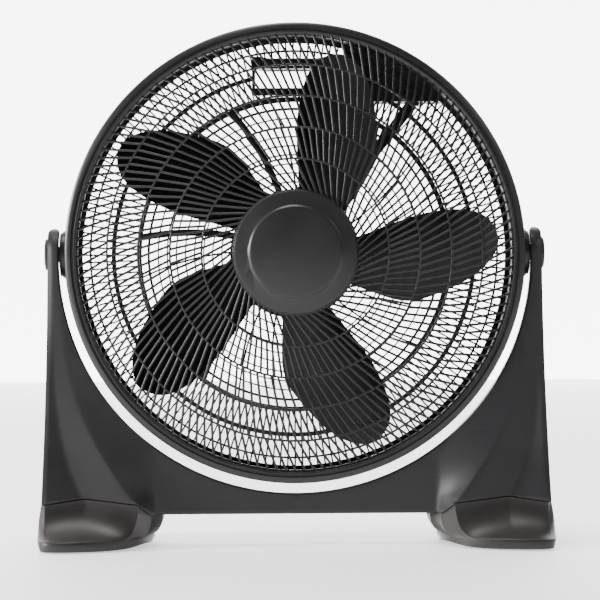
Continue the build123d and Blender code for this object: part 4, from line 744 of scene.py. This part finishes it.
def split_back(row):
    """Rows from an edge straight back to the split, where the depth is nothing."""
    shares = [1 - step / BACK_STEPS for step in range(BACK_STEPS + 1)]
    return [[(x, depth * share, z) for x, depth, z in row] for share in shares]


def shell(name, work, outward, crease):
    """A thin wall from patches: they are merged and faced outwards, and get their thickness inwards."""
    bmesh.ops.remove_doubles(work, verts=work.verts, dist=SEAM_WELD)
    bmesh.ops.dissolve_degenerate(work, dist=SEAM_WELD / 2, edges=work.edges)
    bmesh.ops.recalc_face_normals(work, faces=work.faces)
    outward = Vector(outward)
    farthest = max(work.faces, key=lambda face: face.calc_center_median().dot(outward))
    if farthest.normal.dot(outward) < 0:
        bmesh.ops.reverse_faces(work, faces=work.faces)
    mesh = bpy.data.meshes.new(name)
    work.to_mesh(mesh)
    work.free()
    made = add_object(name, mesh)
    wall = made.modifiers.new("wall", "SOLIDIFY")
    wall.thickness = SHELL_WALL * MM
    wall.offset = -1.0
    shape = made.evaluated_get(bpy.context.evaluated_depsgraph_get())
    made.data = bpy.data.meshes.new_from_object(shape)
    made.modifiers.remove(wall)
    made.data.name = name
    made.data.shade_smooth()
    made.data.set_sharp_from_angle(angle=math.radians(crease))
    made.data.calc_loop_triangles()
    print(name, len(made.data.loop_triangles), "triangles")
    return made


# %% Yoke shells
CORNER = 2.5  # radius of the trough's rounded front corner
LOWER_EDGE = 1.5  # radius of the rounded lower edge
SHOULDER = 6.0  # the arm's sides draw in over this height below its top
TOP_Z = PIVOT_Z + ARM_TOP_R
COLUMN_COUNTS = (16, 4, 5, 3, 3, 7, 5, 5, 4, 3, 2)


def shoulder(z):
    """How far the arm's sides draw in near its rounded top."""
    over = max(z - (TOP_Z - SHOULDER), 0.0)
    return SHOULDER - math.sqrt(max(SHOULDER**2 - over**2, 0.0))


def trough_depth(z):
    """Depth of the front beside the trough."""
    return min(CROSS_DEPTH, leg_lines(z)[4] - 0.5) * closing(z)


def trough_radius(z, is_rear):
    """Radius of the trough at the face of a shell."""
    return TROUGH_R + (2 * SLOPE * trough_depth(z) if is_rear else 0.0)


def row_start(z, is_rear):
    """X where a row leaves the corner of the trough, and the corner's radius."""
    corner = CORNER * min(1.0, trough_depth(z) / 8.0)
    radius = trough_radius(z, is_rear) + corner
    if z >= TROUGH_Z:
        return radius + shoulder(z), corner
    return math.sqrt(max(radius**2 - (TROUGH_Z - z) ** 2, 0.0)), corner


def row_columns(z, is_rear):
    """X of every column at a level: columns crowd beside each fold and never pass each other."""
    ridge, valley, edge, outer, _, _ = leg_lines(z)
    outer -= shoulder(z)
    marks = [row_start(z, is_rear)[0], CROSS_END - 4, CROSS_END + 4, ridge - 3, ridge, ridge + 3]
    marks += [valley - 6, valley, valley + 6, edge - 2, edge, outer]
    for index in range(1, len(marks)):
        marks[index] = min(max(marks[index], marks[index - 1]), outer)
    columns = [marks[0]]
    for count, low, high in zip(COLUMN_COUNTS, marks, marks[1:]):
        columns += [low + (high - low) * step / count for step in range(1, count + 1)]
    return columns


def lowest_level(index, is_rear):
    """Level at which a column meets the rounded lower edge, found by halving."""
    low, high = UNDERSIDE_Z, SEAM_Z + 20.0
    for _ in range(40):
        middle = (low + high) / 2
        if middle < seam_height(row_columns(middle, is_rear)[index]) + LOWER_EDGE:
            low = middle
        else:
            high = middle
    return high


def arc_level(angle, is_rear):
    """Level of the trough's corner at an angle from straight down; the radius itself follows the level."""
    z = TROUGH_Z - TROUGH_R * math.cos(angle)
    for _ in range(3):
        z = TROUGH_Z - (trough_radius(z, is_rear) + CORNER) * math.cos(angle)
    return z


def trough_strip(z, is_rear):
    """One row over the trough's rounded corner and down its sloping side to the split."""
    start, corner = row_start(z, is_rear)
    depth = yoke_depth(start, z)
    radius = trough_radius(z, is_rear)
    split_r = TROUGH_R + SLOPE * trough_depth(z)
    strip = []
    for step in range(5):
        lean = math.radians(22.5 * step)
        depth_here = depth - corner * (1 - math.cos(lean))
        strip.append((radius + corner * (1 - math.sin(lean)), depth_here))
    end_r, end_depth = strip[-1]
    for step in range(1, BACK_STEPS + 1):
        share = step / BACK_STEPS
        strip.append((end_r + (split_r - end_r) * share, end_depth * (1 - share)))
    if z >= TROUGH_Z:
        return [(r + shoulder(z), y, z) for r, y in strip]
    lean = math.acos(min((TROUGH_Z - z) / (radius + corner), 1.0))
    return [(r * math.sin(lean), y, TROUGH_Z - r * math.cos(lean)) for r, y in strip]


def yoke_half(name, is_rear):
    """One shell of the yoke."""
    turn = 1 if is_rear else -1
    work = bmesh.new()
    arc_levels = [arc_level(math.radians(2.5 * step), is_rear) for step in range(37)]
    top_levels = [PIVOT_Z + ARM_TOP_R * math.sin(math.radians(6.0 * step)) for step in range(1, 16)]
    low_levels = [z for z in (UNDERSIDE_Z + LOWER_EDGE, 41.0, 44.5, 48.0) if z < arc_levels[0] - 1.0]
    lows = [lowest_level(index, is_rear) for index in range(sum(COLUMN_COUNTS) + 1)]
    front = []
    for z in low_levels + arc_levels + top_levels:
        row = []
        for index, low in enumerate(lows):
            level = max(z, low)
            x = row_columns(level, is_rear)[index]
            row.append((x, yoke_depth(x, level), level))
        front.append(row)
    mirrored_patch(work, front, turn)
    # Rounded lower edge, and the underside.
    under = [front[0]]
    for fall, back in ((1.05, 0.45), (LOWER_EDGE, LOWER_EDGE)):
        under.append([(x, depth - back, z - fall) for x, depth, z in front[0]])
    mirrored_patch(work, under + split_back(under[-1])[1:], turn)
    # Outer wall, and the strip that closes its lower corner.
    outside = split_back([row[-1] for row in front])
    mirrored_patch(work, outside, turn)
    lower_corner = [step[-1] for step in split_back(under[-1])]
    mirrored_patch(work, [[step[0] for step in outside], lower_corner], turn)
    mirrored_patch(work, [trough_strip(z, is_rear) for z in arc_levels + top_levels], turn)
    return shell(name, work, (0.0, turn, 0.0), crease=38.0)


placed(yoke_half("yoke_front", False), "yoke_front_shell")
placed(yoke_half("yoke_rear", True), "yoke_rear_shell")

# %% [markdown]
# ## Feet
# Each foot starts at the seam, where it has the leg's own outline, and flares in a hollow curve to a
# rounded lip near the floor. The outline at the seam and the outline at the floor are matched point by
# point, and every level between them is a mix of the two, so the flare flows all the way round.


# %% Outlines of a foot
STEPS = 12  # between two points of an outline
GAP = 0.7  # between the foot and the yoke, at the seam
SIDE = FOOT_OUTER - 0.7


def smooth_line(points):
    """A smooth curve through points, as a list of points."""
    ends = [points[0]] + list(points) + [points[-1]]
    curve = []
    for index in range(1, len(ends) - 2):
        before, start, stop, after = (Vector(point) for point in ends[index - 1 : index + 3])
        for step in range(STEPS):
            t = step / STEPS
            curve.append(
                0.5
                * (
                    2 * start
                    + (stop - before) * t
                    + (2 * before - 5 * start + 4 * stop - after) * t**2
                    + (3 * start - before - 3 * stop + after) * t**3
                )
            )
    return curve + [Vector(points[-1])]


def straight_line(points):
    """Straight runs through points, with as many points as the smooth curve has."""
    line = []
    for start, stop in zip(points, points[1:]):
        line += [Vector(start).lerp(Vector(stop), step / STEPS) for step in range(STEPS)]
    return line + [Vector(points[-1])]


def seam_point(x):
    """A point of the foot's upper edge, just outside the front of the leg."""
    z = seam_height(x)
    return (x, -(yoke_depth(x, z + LOWER_EDGE) + 0.8), z - GAP)


leg_outer = leg_lines(SEAM_Z)[3]
upper = [
    (FOOT_TIP + 1.5, 0.0, UNDERSIDE_Z - 0.6),
    (FOOT_TIP + 1.5, -30.0, UNDERSIDE_Z - 0.6),
    (FOOT_TIP + 13.5, -CROSS_DEPTH - 0.8, UNDERSIDE_Z - 0.6),
    seam_point(SEAM_X[1]),
    seam_point(208.0),
    seam_point(SEAM_X[2]),
    seam_point(262.0),
    seam_point(leg_outer - EDGE_INSET),
    (leg_outer + 0.8, -LEG_DEPTH + 10.0, SEAM_Z - GAP),
    (leg_outer + 0.8, 0.0, SEAM_Z - GAP),
]
lower = [
    (FOOT_TIP + 13.0, 0.0, SOLE_Z + 6.5),
    (FOOT_TIP + 14.5, -30.0, SOLE_Z + 6.0),
    (FOOT_TIP + 24.0, -58.0, SOLE_Z + 4.0),
    (FOOT_TIP + 42.0, -79.0, SOLE_Z + 1.0),
    (FOOT_TIP + 66.0, -94.0, SOLE_Z),
    (FOOT_OUTER - 50.0, -102.5, SOLE_Z),
    (FOOT_OUTER - 28.0, -104.6, SOLE_Z),
    (FOOT_OUTER - 9.0, -97.0, SOLE_Z),
    (SIDE, -74.0, SOLE_Z),
    (SIDE, 0.0, SOLE_Z),
]
upper_line = straight_line(upper)
lower_line = smooth_line(lower)


def hollow(depth):
    """A hollow quarter curve, slow at the seam and steep at the lip."""
    return 1.0 - math.sqrt(1.0 - (depth / 0.80) ** 2)


def bulge(depth):
    """The same for the foot's outer side, which swells out and turns in again at the floor."""
    if depth < 0.5:
        return math.sin(math.pi * depth)
    return 1.0 - 2.0 * max(depth - 0.68, 0.0) ** 2 / 0.32**2


# Each level is its depth from seam to floor, and how far out it is from one outline to the other.
DEPTHS = [0.0, 0.02, 0.08, 0.16, 0.25, 0.34, 0.43, 0.51, 0.58, 0.64, 0.69, 0.73, 0.76]
LIP = [(0.785, 0.985), (0.805, 1.0), (0.86, 1.0), (0.92, 1.0), (0.965, 0.985), (0.99, 0.96), (1.0, 0.93)]
levels = [(depth, 0.96 * hollow(depth) / hollow(0.78)) for depth in DEPTHS] + LIP
# The outer side starts at the eighth point of the outlines, and the front blends into it.
side_start = 7 * STEPS
sideways = [min(max((index - side_start) / (1.3 * STEPS), 0.0), 1.0) for index in range(len(upper_line))]


# %% Foot shells
POST_SIDES = 32
PAD_SPOTS = ((258.9, 78.0), (202.9, 40.0))
SCREW_SPOTS = ((205.4, 26.0), (255.4, 26.0))


def post_ring(x, y, z, radius):
    """Points round an upright post, ending where they began."""
    turns = [2 * math.pi * index / POST_SIDES for index in range(POST_SIDES + 1)]
    return [(x + radius * math.cos(turn), y + radius * math.sin(turn), z) for turn in turns]


def post(work, x, y, low, high, outer_r, bore_r=0.0):
    """A closed upright post between two levels, or a tube where it has a bore."""
    rings = [post_ring(x, y, low, bore_r), post_ring(x, y, low, outer_r)]
    rings += [post_ring(x, y, high, outer_r), post_ring(x, y, high, bore_r)]
    if bore_r:
        rings.append(rings[0])
    patch(work, rings)


def foot(name, side):
    """The foot on one side."""
    work = bmesh.new()
    for half in (1, -1):
        rows = []
        for down, out in levels:
            row = []
            for top, base, share in zip(upper_line, lower_line, sideways):
                x = top.x + (base.x - top.x) * (out + (bulge(down) - out) * share)
                y = top.y + (base.y - top.y) * out
                row.append((side * x, half * y, top.z + (base.z - top.z) * down))
            rows.append(row)
        patch(work, rows)
        deck = [[(side * p.x, half * p.y * part / 6, p.z) for p in upper_line] for part in range(7)]
        patch(work, deck)
    made = shell(name, work, (0.0, 0.0, 1.0), crease=50.0)
    posts = bmesh.new()
    posts.from_mesh(made.data)
    for half in (1, -1):
        for x, y in PAD_SPOTS:
            post(posts, side * x, half * y, 3.5, 14.0, 11.5)
        for x, y in SCREW_SPOTS:
            post(posts, side * x, half * y, 20.0, 47.0, 6.0, 1.7)
    bmesh.ops.remove_doubles(posts, verts=posts.verts, dist=WELD)
    posts.to_mesh(made.data)
    posts.free()
    return made


placed(foot("foot_right", 1), "right_foot")
placed(foot("foot_left", -1), "left_foot")
